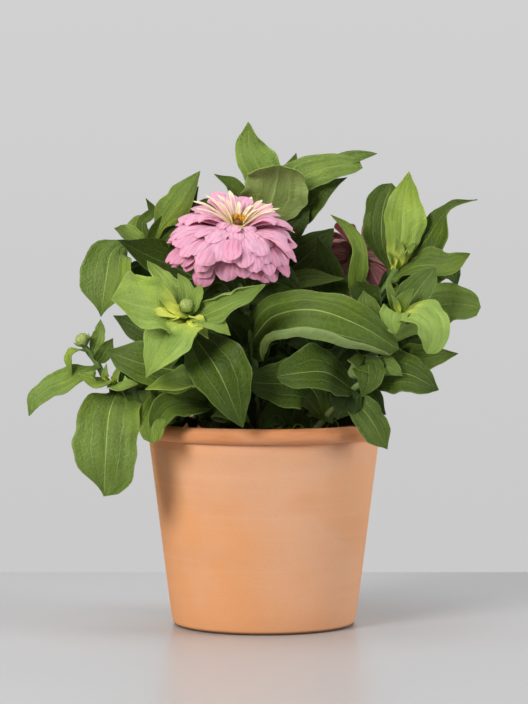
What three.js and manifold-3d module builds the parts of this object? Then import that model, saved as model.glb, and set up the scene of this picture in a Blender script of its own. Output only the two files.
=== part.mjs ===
// Potted common zinnia: a terracotta pot of soil, twelve leafy stems and two double blooms.
// Millimetres, +Z up. The origin is the centre of the pot's foot, on the surface it stands on;
// the side that shows the open bloom faces -Y.
import * as THREE from 'three';
import { mergeVertices } from 'three/addons/utils/BufferGeometryUtils.js';
import Module from 'manifold-3d';

const wasm = await Module();
wasm.setup();

// Pot
const POT_HEIGHT = 122;
const FOOT_RADIUS = 55;
const RIM_RADIUS = 75;
const NECK_RADIUS = 69.3; // outside of the wall just under the rim
const RIM_ROLL = 9; // height of the rolled rim
const ROLL_FACES = 3;
const EDGE = 1.5; // chamfer of the foot and of the rim's inside edge
const WALL = 6;
const FLOOR = 8;
const POT_SIDES = 32;
const DRAIN_RADIUS = 4.5;
const DRAIN_CIRCLE = 26; // the drain holes stand this far from the centre
const DRAIN_COUNT = 3;

// Soil
const SOIL_TOP = 108;
const SOIL_RINGS = 3;
const LUMP = 1.6; // height of the soil's lumps
const GAP = 0.3; // clearance between pieces that touch
const BORE_END = 0.5; // a stem's hole goes this much deeper than its root
const BORE_LENGTH = 26; // and runs out of the soil above it

// Leaves and petals
const LEAF_THICKNESS = 0.9;
const PETAL_THICKNESS = 0.8;
const STEM_SIDES = 5;
const ROOTING = 1.2; // a leaf's midrib starts this far from the middle of its stem
const CLASP = 0.02; // how far into its width curve a leaf starts, where it clasps the stem
const PAIR_SPREAD = 0.55; // the shorter leaf of a pair keeps at least this share of the width
const PAIR_WAVE = 1.3;
const LEAF_CELLS = [ // cells along and across a leaf at least this wide from midrib to margin
  { half: 16, cells: [5, 4] },
  { half: 12.5, cells: [5, 2] },
  { half: 5.5, cells: [4, 2] },
  { half: 0, cells: [3, 1] },
];

// Colours
const TERRACOTTA = '#dd9c70';
const SOIL_BROWN = '#3b2c22';
const LEAF_GREEN = '#5f7f3c';
const PETAL_PINK = '#d99ab8';
const PETAL_CREAM = '#efe0b4';
const PETAL_FADED = '#a87078';
const FLORET_GOLD = '#e0a22c';
const FLORET_BROWN = '#8a6424';

// A repeatable draw between -1 and 1 for the kth thing.
const jitter = (k) => {
  const value = Math.sin(k * 12.9898) * 43758.5453;
  return 2 * (value - Math.floor(value)) - 1;
};
const vector = (point) => new THREE.Vector3(...point);
const radians = THREE.MathUtils.degToRad;

// Each stem: radius, and the points it passes through from its root in the soil to its top.
const STEMS = {
  flower: {
    radius: 2.3,
    points: [[-2, -8, 92], [-4, -24, 140], [-9, -36, 180], [-16, -42, 213], [-17, -40, 221]],
  },
  bud: { radius: 2.2, points: [[-22, -16, 92], [-30, -40, 138], [-39, -60, 170], [-44, -72, 189]] },
  side: {
    radius: 1.9,
    points: [
      [-32, -6, 92], [-54, -22, 120], [-77, -32, 139],
      [-92, -38, 148], [-98, -41, 159], [-106, -43, 170],
    ],
  },
  left: { radius: 2.2, points: [[-22, 10, 92], [-38, 10, 150], [-58, 6, 200], [-71, 2, 227]] },
  crown: { radius: 2.4, points: [[2, 10, 92], [2, 12, 150], [0, 12, 210], [-2, 10, 246]] },
  high: { radius: 2.3, points: [[22, 2, 92], [43, 2, 145], [66, 0, 190], [80, -4, 214]] },
  middle: { radius: 2.1, points: [[24, -14, 92], [46, -30, 135], [67, -42, 168], [80, -48, 188]] },
  low: { radius: 2, points: [[14, -26, 92], [30, -44, 120], [49, -56, 142], [61, -60, 152]] },
  faded: {
    radius: 2.1,
    points: [[14, 16, 92], [28, 20, 150], [44, 14, 190], [51, 14, 208], [53.9, 22, 215.1]],
  },
  rear_left: { radius: 2.1, points: [[-14, 24, 92], [-30, 40, 145], [-47, 54, 185], [-54, 62, 204]] },
  rear: { radius: 2.2, points: [[2, 28, 92], [4, 52, 145], [3, 70, 190], [2, 78, 214]] },
  rear_right: { radius: 2.1, points: [[22, 26, 92], [42, 44, 138], [62, 60, 170], [72, 68, 186]] },
};

// Each single leaf: its stem and how far along that it sits, the points its midrib runs through,
// the width of its right and left half, the way its upper face looks (and looks at the tip, where
// it turns), the fold of each half in degrees, the height of the waves in its margin, the place
// of its widest part and how full its shoulders are.
const LEAVES = [
  { on: 'flower', at: 0.62, path: [[6, -56, 189], [29, -70, 192], [55, -72, 182], [78, -66, 168]],
    right: 24, left: 13, face: [0, -0.85, 0.5], fold: [14, 6], wave: 1.5, belly: 0.48, full: 0.7 },
  { on: 'flower', at: 0.5, path: [[-24, -46, 186], [-43, -48, 194]], right: 12, left: 12,
    face: [0.1, -0.85, 0.5] },
  { on: 'crown', at: 0.6, path: [[-52, -8, 214], [-70, -14, 222], [-87, -20, 231]],
    right: 13, left: 11, face: [0.1, -0.75, 0.65], belly: 0.6 },
  { on: 'crown', at: 0.55, path: [[21, -10, 205], [48, -16, 208]], right: 9, left: 9, face: [0, -0.8, 0.6] },

  { on: 'bud', at: 0.97, path: [[-57, -82, 191], [-70, -94, 193.5], [-86, -106, 198]],
    right: 19, left: 19, face: [0.45, -0.75, 0.45], wave: 2.2, belly: 0.5, full: 0.7 },
  { on: 'bud', at: 0.93, path: [[-56, -90, 172], [-67, -93, 153]], right: 14.5, left: 14.5,
    face: [0, -0.9, 0.45] },
  { on: 'bud', at: 0.97, path: [[-58, -62, 207], [-68, -52, 219]], right: 8, left: 8,
    face: [0.5, -0.7, 0.4] },
  { on: 'bud', at: 0.98, path: [[-46, -65, 205], [-50, -61, 212]], right: 5, left: 5, face: [0.1, -0.9, 0.3],
    wave: 0.5 },
  { on: 'bud', at: 0.95, path: [[-18, -86, 195], [1, -94, 206]], right: 10, left: 9, face: [0, -0.75, 0.65],
    fold: [10, 40] },
  { on: 'bud', at: 0.92, path: [[-29, -87, 184], [-19, -91, 177]], right: 8, left: 8,
    face: [0.2, -0.6, 0.75], wave: 0.8 },
  { on: 'bud', at: 0.86, path: [[-26, -88, 156], [-12, -86, 124]], right: 15.5, left: 18,
    face: [0.1, -0.95, 0.25], full: 0.75 },
  { on: 'bud', at: 0.6, path: [[-72, -63, 161], [-91, -60, 166]], right: 14, left: 14,
    face: [0.1, -0.88, 0.4] },
  { on: 'bud', at: 0.52, path: [[-52, -78, 148], [-68, -86, 146]], right: 10, left: 10,
    face: [0, -0.7, 0.7] },
  { on: 'bud', at: 0.42, path: [[-54, -67, 131], [-64, -71, 114]], right: 11, left: 11,
    face: [-0.1, -0.9, 0.4], wave: 2 },
  { on: 'bud', at: 0.3, path: [[-24, -54, 136], [-8, -55, 125]], right: 11, left: 11,
    face: [0, -0.9, 0.45] },

  { on: 'side', at: 0.86, right: 10, left: 10, face: [0, 0.42, 0.9], wave: 0.8, belly: 0.5,
    path: [[-106, -48, 154], [-115, -52, 148.5], [-125, -54, 145], [-133, -54, 138], [-137, -52, 128.5]] },
  { on: 'side', at: 0.78, path: [[-97, -50, 149], [-106, -52, 153.5]], right: 5, left: 5,
    face: [0, -0.7, 0.7], wave: 0.5 },
  { on: 'side', at: 0.74, path: [[-82, -48, 148], [-74, -52, 149]], right: 5, left: 5, face: [0, -0.7, 0.7],
    wave: 0.5 },
  { on: 'side', at: 0.7, path: [[-90, -60, 130], [-91.5, -68, 106], [-93, -62, 82.5]],
    right: 21, left: 20, face: [-0.1, -0.98, 0.1], wave: 2.2, belly: 0.46, full: 0.55 },
  { on: 'side', at: 0.95, path: [[-111, -50, 167], [-114, -50, 163], [-112, -51, 152]],
    right: 3, left: 3, face: [-0.5, -0.6, 0.6], wave: 0.3 },
  { on: 'side', at: 0.93, path: [[-97, -38, 175], [-96, -36, 184.5]], right: 4.2, left: 4.2,
    face: [0.1, -0.9, 0.3], wave: 0.4 },
  { on: 'side', at: 0.88, path: [[-93, -49, 166], [-88, -51, 174]], right: 5, left: 5,
    face: [0.3, -0.9, 0.3], wave: 0.4 },

  { on: 'left', at: 0.96, path: [[-91, -12, 223], [-95, -18, 207], [-95, -24, 185.5]],
    right: 16, left: 18, face: [-0.35, -0.8, 0.45], belly: 0.5 },
  { on: 'left', at: 0.99, path: [[-82, 4, 235], [-90, 2, 238]], right: 6, left: 6, face: [-0.3, -0.8, 0.5],
    wave: 0.6, full: 0.7 },
  { on: 'left', at: 0.97, path: [[-77, 10, 238], [-70, 10, 247]], right: 7, left: 7, face: [-0.3, -0.8, 0.5],
    wave: 0.6 },
  { on: 'left', at: 0.99, path: [[-73, 5, 241], [-67, 4, 248], [-71, 4, 256]], right: 4, left: 4,
    face: [-0.5, -0.8, 0.2], wave: 0.4 },
  { on: 'left', at: 0.98, path: [[-61, -5, 239], [-50, -10, 253], [-38, -8, 272]],
    right: 8, left: 12, face: [-0.5, -0.65, 0.5], fold: [30, 4], belly: 0.5 },
  { on: 'left', at: 0.82, path: [[-76, -2, 210], [-79, -6, 192]], right: 9, left: 9,
    face: [-0.3, -0.9, 0.3] },

  { on: 'crown', at: 0.98, path: [[2, 16, 264], [-7, 14, 287], [-9.5, 8, 302]],
    right: 13, left: 11, face: [0, -0.95, 0.3], belly: 0.45, full: 0.75 },
  { on: 'crown', at: 0.94, path: [[2, 2, 254], [5, -4, 267], [6, -14, 273]], right: 20, left: 19,
    face: [0, 0.9, 0.3], turned: [0, 0.5, 0.85], wave: 2, belly: 0.55, full: 0.6 },
  { on: 'crown', at: 0.96, path: [[14, 18, 264], [20.5, 18, 283]], right: 8, left: 8, face: [0, -0.9, 0.4] },
  { on: 'crown', at: 0.9, path: [[30, 4, 261], [48, -1, 271.5], [67, -6, 282]], right: 10, left: 13,
    face: [0.05, -0.85, 0.5], turned: [0.1, -0.5, 0.85], fold: [-12, 16], belly: 0.55 },
  { on: 'crown', at: 0.92, path: [[-19, 8, 263], [-30, 6, 270.5]], right: 7, left: 7, face: [0, -0.8, 0.6] },

  { on: 'high', at: 0.98, path: [[82, -2, 234], [83, 1, 251], [86.5, -2, 272]], right: 13.5, left: 10,
    face: [0.1, -0.9, 0.3], belly: 0.48 },
  { on: 'high', at: 0.96, path: [[67, 1, 231], [70, 4, 252], [75, 6, 265]], right: 7, left: 13,
    face: [-0.35, -0.9, 0.1], fold: [10, 16], belly: 0.55, full: 0.7 },
  { on: 'high', at: 0.93, path: [[97, -3, 231], [107, -6, 243], [114, -8, 250.5], [127.5, -6, 255]],
    right: 12.5, left: 9, face: [-0.2, -0.75, 0.6], turned: [0.1, -0.3, 1], belly: 0.36 },
  { on: 'high', at: 0.95, path: [[92, -20, 220], [107, -26, 223], [122, -24, 222.5]], right: 11, left: 11,
    face: [0.1, -0.7, 0.7], wave: 1.6, full: 0.75 },
  { on: 'high', at: 0.88, path: [[98, -12, 212], [111, -14, 212], [115, -14, 203]], right: 10, left: 10,
    face: [0.2, -0.8, 0.6] },
  { on: 'high', at: 0.62, path: [[55, -14, 214], [55.5, -16, 226], [51, -16, 237], [39.5, -16, 246]],
    right: 8, left: 6, face: [0.6, -0.7, 0.2], fold: [26, 10], belly: 0.6 },
  { on: 'high', at: 0.5, path: [[38, -6, 214], [31, -9, 234]], right: 11, left: 11,
    face: [-0.2, -0.9, 0.3] },

  { on: 'middle', at: 0.84, path: [[103, -26, 192], [117, -24, 193], [129, -21, 191]], right: 12, left: 12,
    face: [0.1, -0.92, 0.35], belly: 0.55, full: 0.6 },
  { on: 'middle', at: 0.97, path: [[90, -60, 193.5], [99.5, -66, 184], [99, -67, 173], [94.5, -66, 166]],
    right: 10, left: 11, face: [0.1, -0.6, 0.8], turned: [0.75, -0.6, 0.25], full: 0.7 },
  { on: 'middle', at: 0.95, path: [[76, -59, 189], [74, -65, 183], [76, -68, 177]], right: 8.5, left: 8.5,
    face: [0, -0.7, 0.7], turned: [0, -0.95, 0.1], wave: 0.6, full: 0.6 },
  { on: 'middle', at: 0.92, path: [[93, -46, 206], [101, -42, 215]], right: 10, left: 10,
    face: [0.1, -0.8, 0.5], belly: 0.5 },
  { on: 'middle', at: 0.98, path: [[74, -53, 198], [72, -53, 209.5]], right: 2.8, left: 2.8,
    face: [0.2, -0.9, 0.3], wave: 0.2 },
  { on: 'middle', at: 0.99, path: [[81, -54, 196], [87, -56, 203]], right: 4, left: 4, face: [0, -0.9, 0.3],
    wave: 0.3 },
  { on: 'middle', at: 0.78, path: [[60, -50, 192], [58, -47, 202]], right: 9, left: 9,
    face: [-0.1, -0.8, 0.6] },
  { on: 'middle', at: 0.62, path: [[96, -42, 162], [114, -40, 164.5]], right: 10, left: 10,
    face: [0.1, -0.9, 0.4] },

  { on: 'low', at: 0.97, path: [[81, -65, 154], [101.5, -58, 144]], right: 13.5, left: 13.5,
    face: [0.1, -0.85, 0.5] },
  { on: 'low', at: 0.85, path: [[35, -74, 155], [20, -80, 155], [7, -80, 153]], right: 14.5, left: 14.5,
    face: [-0.1, -0.85, 0.5], belly: 0.5, full: 0.65 },
  { on: 'low', at: 0.97, path: [[56, -68, 158.5], [48, -70, 162]], right: 9, left: 9,
    face: [-0.2, -0.7, 0.7], fold: [24, 24] },
  { on: 'low', at: 0.8, path: [[61, -61, 128.5], [72, -51, 109]], right: 10.5, left: 9,
    face: [0.2, -0.95, 0.15], belly: 0.45 },
  { on: 'low', at: 0.56, path: [[26, -60, 146], [6, -64, 148], [-14, -66, 149]], right: 15, left: 15,
    face: [0, -0.95, 0.3], belly: 0.5 },
];

// Each pair of opposite leaves: its stem and place on it, the compass heading of the first leaf
// in degrees from +X, the length of both leaves (0 for one that fell), the half width, the rise
// above level at the stem and how far the leaf has drooped by its tip.
const PAIRS = [
  { on: 'rear_left', at: 0.28, heading: 37, lengths: [0, 26], half: 12, rise: 14, droop: 45 },
  { on: 'rear_left', at: 0.5, heading: 127, lengths: [54, 36], half: 15, rise: 20, droop: 60 },
  { on: 'rear_left', at: 0.72, heading: 37, lengths: [26, 48], half: 14, rise: 22, droop: 55 },
  { on: 'rear_left', at: 0.9, heading: 127, lengths: [48, 34], half: 13, rise: 35, droop: 50 },
  { on: 'rear_left', at: 0.99, heading: 37, lengths: [26, 30], half: 7, rise: 55, droop: 30 },
  { on: 'rear', at: 0.28, heading: 0, lengths: [16, 12], half: 10, rise: 14, droop: 45 },
  { on: 'rear', at: 0.5, heading: 90, lengths: [54, 34], half: 15, rise: 20, droop: 60 },
  { on: 'rear', at: 0.72, heading: 0, lengths: [46, 34], half: 15, rise: 22, droop: 55 },
  { on: 'rear', at: 0.9, heading: 90, lengths: [50, 36], half: 13, rise: 35, droop: 50 },
  { on: 'rear', at: 0.99, heading: 0, lengths: [30, 30], half: 8, rise: 55, droop: 30 },
  { on: 'rear_right', at: 0.3, heading: 133, lengths: [16, 44], half: 13, rise: 22, droop: 45 },
  { on: 'rear_right', at: 0.52, heading: 43, lengths: [54, 16], half: 15, rise: 20, droop: 60 },
  { on: 'rear_right', at: 0.74, heading: 133, lengths: [40, 44], half: 14, rise: 22, droop: 55 },
  { on: 'rear_right', at: 0.93, heading: 43, lengths: [46, 30], half: 12, rise: 35, droop: 50 },
  { on: 'rear_right', at: 0.99, heading: 133, lengths: [26, 30], half: 7, rise: 55, droop: 30 },
  { on: 'faded', at: 0.42, heading: 95, lengths: [28, 26], half: 12, rise: 12, droop: 45 },
  { on: 'faded', at: 0.68, heading: 20, lengths: [30, 34], half: 12, rise: 20, droop: 55 },
  { on: 'left', at: 0.34, heading: 110, lengths: [40, 38], half: 13, rise: 12, droop: 50 },
  { on: 'left', at: 0.6, heading: 175, lengths: [24, 50], half: 14, rise: 18, droop: 60 },
  { on: 'crown', at: 0.3, heading: 60, lengths: [38, 38], half: 13, rise: 10, droop: 40 },
  { on: 'crown', at: 0.78, heading: 110, lengths: [44, 0], half: 14, rise: 20, droop: 60 },
  { on: 'high', at: 0.36, heading: 75, lengths: [31, 0], half: 12, rise: 12, droop: 50 },
  { on: 'high', at: 0.78, heading: 40, lengths: [40, 0], half: 13, rise: 20, droop: 60 },
];

// Flower buds at the tip of a stem: centre, radius and the way the bud points.
const BUDS = {
  bud: { centre: [-44.5, -74, 193.5], radius: 4.6, axis: [-0.05, -0.55, 0.83] },
  side: { centre: [-107.5, -43.5, 172.5], radius: 4.3, axis: [-0.55, -0.1, 0.83] },
};

const BUD_LEVELS = 5;
const BUD_SIDES = 8;
const BUD_SCALES = 6;
// A bud's scale as [distance from the axis, height, half width], in bud radii.
const BUD_SCALE_SHAPE = [[0.55, -0.7, 0.25], [1, -0.25, 0.38], [1.06, 0.35, 0.06]];

// The open bloom. core is the radius of the core its petals stand in. The rings of petals go from
// the outermost, lowest ring inwards: root and height are measured from the bloom's axis and
// centre, and a petal leaves its root at the first angle above level and ends at the second.
const MAIN_BLOOM = {
  centre: [-17, -44, 236],
  axis: [0, -0.3, 0.95],
  seed: 3,
  core: 8,
  rings: [
    { count: 13, root: 6.5, height: -4, angles: [-8, -62], length: 37, half: 6 },
    { count: 13, root: 6.5, height: -2.4, angles: [6, -46], length: 38, half: 6.2 },
    { count: 13, root: 6.5, height: -0.8, angles: [16, -28], length: 37, half: 6.2 },
    { count: 11, root: 6, height: 0.8, angles: [27, -10], length: 34, half: 5.8 },
    { count: 9, root: 5.5, height: 2.4, angles: [39, 8], length: 28, half: 4.6 },
    { count: 9, root: 4.6, height: 5.5, angles: [54, 30], length: 19, half: 2.8 },
    { count: 7, root: 3.9, height: 6.8, angles: [72, 52], length: 12, half: 2 },
  ],
  pink: 5, // how many of the rings are pink; the rest are cream
  shoulder: 4, // height of the pink rings' core
  top: 7.5, // height of the cream rings' core
  disc: { radius: 3, height: 6, florets: 10 },
};

// The bloom that is past its best and looks away to the back.
const FADED_BLOOM = {
  centre: [57, 32, 222],
  axis: [0.25, 0.8, 0.55],
  seed: 5,
  core: 6,
  rings: [
    { count: 10, root: 5, height: -3, angles: [-6, -50], length: 25, half: 5 },
    { count: 10, root: 5, height: -1.5, angles: [10, -30], length: 25, half: 5 },
    { count: 9, root: 4.5, height: 0, angles: [26, -8], length: 22, half: 4.6 },
    { count: 7, root: 4, height: 2, angles: [44, 20], length: 16, half: 3.4 },
  ],
  shoulder: 3,
  disc: { radius: 2.6, height: 5, florets: 7 },
};

// Half width along a petal as [place from root to tip, share of the ring's half width].
const LONG_PETAL = [[0, 0.18], [0.45, 0.68], [0.8, 1], [1, 0.6]];
const SHORT_PETAL = [[0, 0.2], [0.62, 1], [1, 0.6]];
const LONG = 30; // a petal longer than this has the long shape
const PETAL_DRIFT = 0.12; // a petal strays from its even place by up to this share of the spacing
const PETAL_TILT = 5; // and from its ring's angles by up to this many degrees
const PETAL_STRETCH = 0.05; // and from its ring's length by up to this share
const RING_TURN = 0.5; // each ring is turned this much further than half a spacing
const CORE_DEPTH = 0.65; // the core goes this share of its radius below the bloom's centre
const CORE_SIDES = 8;

// The green cup under a bloom.
const CUP_DEPTH = 11;
const CUP_SHOULDER = 4.5; // from its rim down to where it narrows
const CUP_SIDES = 10;

const GOLDEN_TURN = 2.4; // from one disc floret to the next

const material = (color, roughness) => new THREE.MeshStandardMaterial({ color, roughness, metalness: 0 });

// A closed geometry as a Manifold solid.
function solid(geometry) {
  const bare = new THREE.BufferGeometry();
  bare.setAttribute('position', geometry.getAttribute('position'));
  if (geometry.index) bare.setIndex(geometry.index);
  const merged = mergeVertices(bare, 1e-4);
  const corners = merged.index.array;
  const kept = [];
  for (let i = 0; i < corners.length; i += 3) {
    const [a, b, c] = corners.slice(i, i + 3);
    if (a !== b && b !== c && c !== a) kept.push(a, b, c);
  }
  return new wasm.Manifold(new wasm.Mesh({
    numProp: 3,
    vertProperties: Float32Array.from(merged.getAttribute('position').array),
    triVerts: Uint32Array.from(kept),
  }));
}

// The union of many solids, kept as its one largest body: scraps go, and sealed hollows fill.
function fuse(solids) {
  const joined = solids.reduce((sum, next) => sum.add(next));
  const bodies = joined.decompose();
  return bodies.reduce((best, body) => (body.volume() > best.volume() ? body : best));
}

function namedMesh(name, body, look) {
  const { vertProperties, triVerts, numProp } = body.getMesh();
  const positions = new Float32Array((vertProperties.length / numProp) * 3);
  for (let i = 0; i < positions.length / 3; i += 1) {
    for (let axis = 0; axis < 3; axis += 1) positions[3 * i + axis] = vertProperties[i * numProp + axis];
  }
  const geometry = new THREE.BufferGeometry();
  geometry.setAttribute('position', new THREE.BufferAttribute(positions, 3));
  geometry.setIndex(new THREE.BufferAttribute(Uint32Array.from(triVerts), 1));
  const mesh = new THREE.Mesh(geometry, look);
  mesh.name = name;
  return mesh;
}

// A closed blade from a grid of middle points: both faces are split into triangles alike.
function bladeSolid(grid, thickness) {
  const rows = grid.length;
  const columns = grid[0].length;
  const clampRow = (i) => Math.min(rows - 1, Math.max(0, i));
  const clampColumn = (j) => Math.min(columns - 1, Math.max(0, j));
  const positions = [];
  for (const side of [1, -1]) {
    for (let i = 0; i < rows; i += 1) {
      for (let j = 0; j < columns; j += 1) {
        // At a pointed tip the row has no width, so its normal comes from the row before.
        const row = Math.min(i, rows - 2);
        const along = grid[clampRow(i + 1)][j].clone().sub(grid[clampRow(i - 1)][j]);
        const across = grid[row][clampColumn(j + 1)].clone().sub(grid[row][clampColumn(j - 1)]);
        const normal = across.cross(along).normalize();
        const point = grid[i][j].clone().addScaledVector(normal, (side * thickness) / 2);
        positions.push(point.x, point.y, point.z);
      }
    }
  }
  const half = rows * columns;
  const corner = (i, j) => i * columns + j;
  const index = [];
  const quad = (a, b, c, d) => index.push(a, b, c, a, c, d);
  for (let i = 0; i < rows - 1; i += 1) {
    for (let j = 0; j < columns - 1; j += 1) {
      const [a, b, c, d] = [corner(i, j), corner(i, j + 1), corner(i + 1, j + 1), corner(i + 1, j)];
      quad(a, b, c, d);
      index.push(half + a, half + c, half + b, half + a, half + d, half + c);
    }
  }
  const border = [];
  for (let j = 0; j < columns - 1; j += 1) border.push(corner(0, j));
  for (let i = 0; i < rows - 1; i += 1) border.push(corner(i, columns - 1));
  for (let j = columns - 1; j > 0; j -= 1) border.push(corner(rows - 1, j));
  for (let i = rows - 1; i > 0; i -= 1) border.push(corner(i, 0));
  border.forEach((a, k) => {
    const b = border[(k + 1) % border.length];
    quad(half + a, half + b, b, a);
  });
  const geometry = new THREE.BufferGeometry();
  geometry.setAttribute('position', new THREE.Float32BufferAttribute(positions, 3));
  geometry.setIndex(index);
  return solid(geometry);
}

// Width of a leaf at s from its clasping base (0) to its point (1), as a share of the widest.
function leafWidth(s, belly, full) {
  const stretch = Math.log(0.5) / Math.log(CLASP + (1 - CLASP) * belly);
  return s < 1 ? Math.sin(Math.PI * (CLASP + (1 - CLASP) * s) ** stretch) ** full : 0;
}

function leafGrid(stem, leaf, order) {
  const { at, path, right, left, face, fold = [10, 10], wave = 1.2, belly = 0.42, full = 0.85 } = leaf;
  const turned = leaf.turned ?? face;
  const [steps, cells] = LEAF_CELLS.find(({ half }) => Math.max(right, left) >= half).cells;
  const base = stem.getPointAt(at);
  const first = vector(path[0]).sub(base).normalize();
  const rooted = base.addScaledVector(first, ROOTING);
  const midrib = new THREE.CatmullRomCurve3([rooted, ...path.map(vector)]);
  const grid = [];
  for (let i = 0; i <= steps; i += 1) {
    const s = i / steps;
    const point = midrib.getPointAt(s);
    const along = midrib.getTangentAt(s);
    const up = vector(face).lerp(vector(turned), s);
    up.addScaledVector(along, -up.dot(along)).normalize();
    const side = along.clone().cross(up);
    const width = leafWidth(s, belly, full);
    const row = [];
    for (let j = 0; j <= cells; j += 1) {
      const t = -1 + (2 * j) / cells;
      const reach = (t > 0 ? right : left) * width;
      const bend = radians(t > 0 ? fold[0] : fold[1]);
      const phase = 2 * Math.PI * (1.6 * s + 0.37 * order) + (t > 0 ? 1.3 : 0);
      const ripple = wave * t * t * Math.sin(phase) * Math.sin(Math.PI * Math.min(1, 1.15 * s));
      const lift = Math.abs(t) ** 1.6 * reach * Math.sin(bend) + ripple * (s < 1 ? 1 : 0);
      row.push(point.clone().addScaledVector(side, t * reach * Math.cos(bend)).addScaledVector(up, lift));
    }
    grid.push(row);
  }
  return grid;
}

// A pair's two leaves, written as single leaves.
function leavesOfPair(stem, pair) {
  const longest = Math.max(...pair.lengths);
  return pair.lengths.flatMap((length, which) => {
    if (length === 0) return [];
    const turn = radians(pair.heading + 180 * which);
    const out = new THREE.Vector3(Math.cos(turn), Math.sin(turn), 0);
    const reach = (from, degrees) => from.clone()
      .addScaledVector(out, (length / 2) * Math.cos(radians(degrees)))
      .add(new THREE.Vector3(0, 0, (length / 2) * Math.sin(radians(degrees))));
    const middle = reach(stem.getPointAt(pair.at), pair.rise);
    const tip = reach(middle, pair.rise - pair.droop);
    const half = pair.half * (PAIR_SPREAD + ((1 - PAIR_SPREAD) * length) / longest);
    return {
      at: pair.at,
      path: [middle.toArray(), tip.toArray()],
      right: half,
      left: half,
      face: [-0.45 * out.x, -0.45 * out.y, 0.9],
      wave: PAIR_WAVE,
    };
  });
}

// Turns a shape built round +Z so that it stands on centre and points along axis.
function placement(centre, axis) {
  const upright = new THREE.Vector3(0, 0, 1);
  const turn = new THREE.Quaternion().setFromUnitVectors(upright, vector(axis).normalize());
  return new THREE.Matrix4().compose(vector(centre), turn, new THREE.Vector3(1, 1, 1));
}

// A geometry turned round +Z from a profile of [radius, height] points that ends on the axis.
function turnedShape(profile, sides) {
  const points = profile.map(([radius, height]) => new THREE.Vector2(radius, height));
  return new THREE.LatheGeometry(points, sides).rotateX(Math.PI / 2);
}

// A rod of a few flat sides along a curve.
function rod(curve, radius, steps) {
  const section = new THREE.Shape();
  for (let k = 0; k < STEM_SIDES; k += 1) {
    const angle = (2 * Math.PI * k) / STEM_SIDES;
    const [x, y] = [radius * Math.cos(angle), radius * Math.sin(angle)];
    if (k === 0) section.moveTo(x, y);
    else section.lineTo(x, y);
  }
  section.closePath();
  return solid(new THREE.ExtrudeGeometry(section, { steps, bevelEnabled: false, extrudePath: curve }));
}

// A round bud with a ring of small scales round its foot.
function budSolids({ centre, radius, axis }) {
  const profile = [];
  for (let k = 0; k <= BUD_LEVELS; k += 1) {
    const angle = -Math.PI / 2 + (Math.PI * k) / BUD_LEVELS;
    const onAxis = k === 0 || k === BUD_LEVELS;
    profile.push([onAxis ? 0 : radius * Math.cos(angle), radius * Math.sin(angle)]);
  }
  const place = placement(centre, axis);
  const parts = [solid(turnedShape(profile, BUD_SIDES).applyMatrix4(place))];
  for (let k = 0; k < BUD_SCALES; k += 1) {
    const angle = (2 * Math.PI * k) / BUD_SCALES;
    const out = new THREE.Vector3(Math.cos(angle), Math.sin(angle), 0);
    const aside = new THREE.Vector3(-out.y, out.x, 0);
    const grid = BUD_SCALE_SHAPE.map(([away, up, half]) => [-1, 1].map((t) => (
      out.clone().multiplyScalar(radius * away).addScaledVector(aside, t * radius * half)
        .add(new THREE.Vector3(0, 0, radius * up)).applyMatrix4(place))));
    parts.push(bladeSolid(grid, LEAF_THICKNESS));
  }
  return parts;
}

// Height of the underside of a bloom's core above the bloom's centre.
const coreBottom = (bloom) => -CORE_DEPTH * bloom.core;

// The green cup under a bloom: a cone from the stem to just under the petals' core.
function cupSolid(bloom, stemRadius) {
  const top = coreBottom(bloom) - GAP - 0.2;
  const profile = [
    [0, top - CUP_DEPTH],
    [0.9 * stemRadius, top - CUP_DEPTH],
    [0.75 * bloom.core, top - CUP_SHOULDER],
    [0.9 * bloom.core, top],
    [0, top],
  ];
  return solid(turnedShape(profile, CUP_SIDES).applyMatrix4(placement(bloom.centre, bloom.axis)));
}

// A stem with all that grows from it as one body.
function leafyStem(key) {
  const { radius, points } = STEMS[key];
  const stem = new THREE.CatmullRomCurve3(points.map(vector));
  const parts = [rod(stem, radius, points.length + 2)];
  LEAVES.forEach((leaf, order) => {
    if (leaf.on === key) parts.push(bladeSolid(leafGrid(stem, leaf, order), LEAF_THICKNESS));
  });
  PAIRS.forEach((pair, order) => {
    if (pair.on !== key) return;
    leavesOfPair(stem, pair).forEach((leaf, which) => {
      parts.push(bladeSolid(leafGrid(stem, leaf, order + 0.5 * which), LEAF_THICKNESS));
    });
  });
  if (BUDS[key]) parts.push(...budSolids(BUDS[key]));
  if (key === 'flower') parts.push(cupSolid(MAIN_BLOOM, radius));
  if (key === 'faded') parts.push(cupSolid(FADED_BLOOM, radius));
  return namedMesh(`${key}_stem`, fuse(parts), material(LEAF_GREEN, 0.7));
}

// The middle points of one petal of a bloom that stands on the origin and points along +Z.
function petalGrid(ring, angle, tilt, stretch) {
  const out = new THREE.Vector3(Math.cos(angle), Math.sin(angle), 0);
  const aside = new THREE.Vector3(-out.y, out.x, 0);
  const direction = (degrees) => out.clone().multiplyScalar(Math.cos(radians(degrees)))
    .add(new THREE.Vector3(0, 0, Math.sin(radians(degrees))));
  const half = (ring.length * stretch) / 2;
  const root = out.clone().multiplyScalar(ring.root).add(new THREE.Vector3(0, 0, ring.height));
  const bend = root.clone().addScaledVector(direction(ring.angles[0] + tilt), half);
  const tip = bend.clone().addScaledVector(direction(ring.angles[1] + tilt), half);
  const ridge = new THREE.QuadraticBezierCurve3(root, bend, tip);
  const widths = ring.length > LONG ? LONG_PETAL : SHORT_PETAL;
  return widths.map(([s, share]) => {
    const point = ridge.getPoint(s);
    return [-1, 1].map((t) => point.clone().addScaledVector(aside, t * ring.half * share));
  });
}

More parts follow.
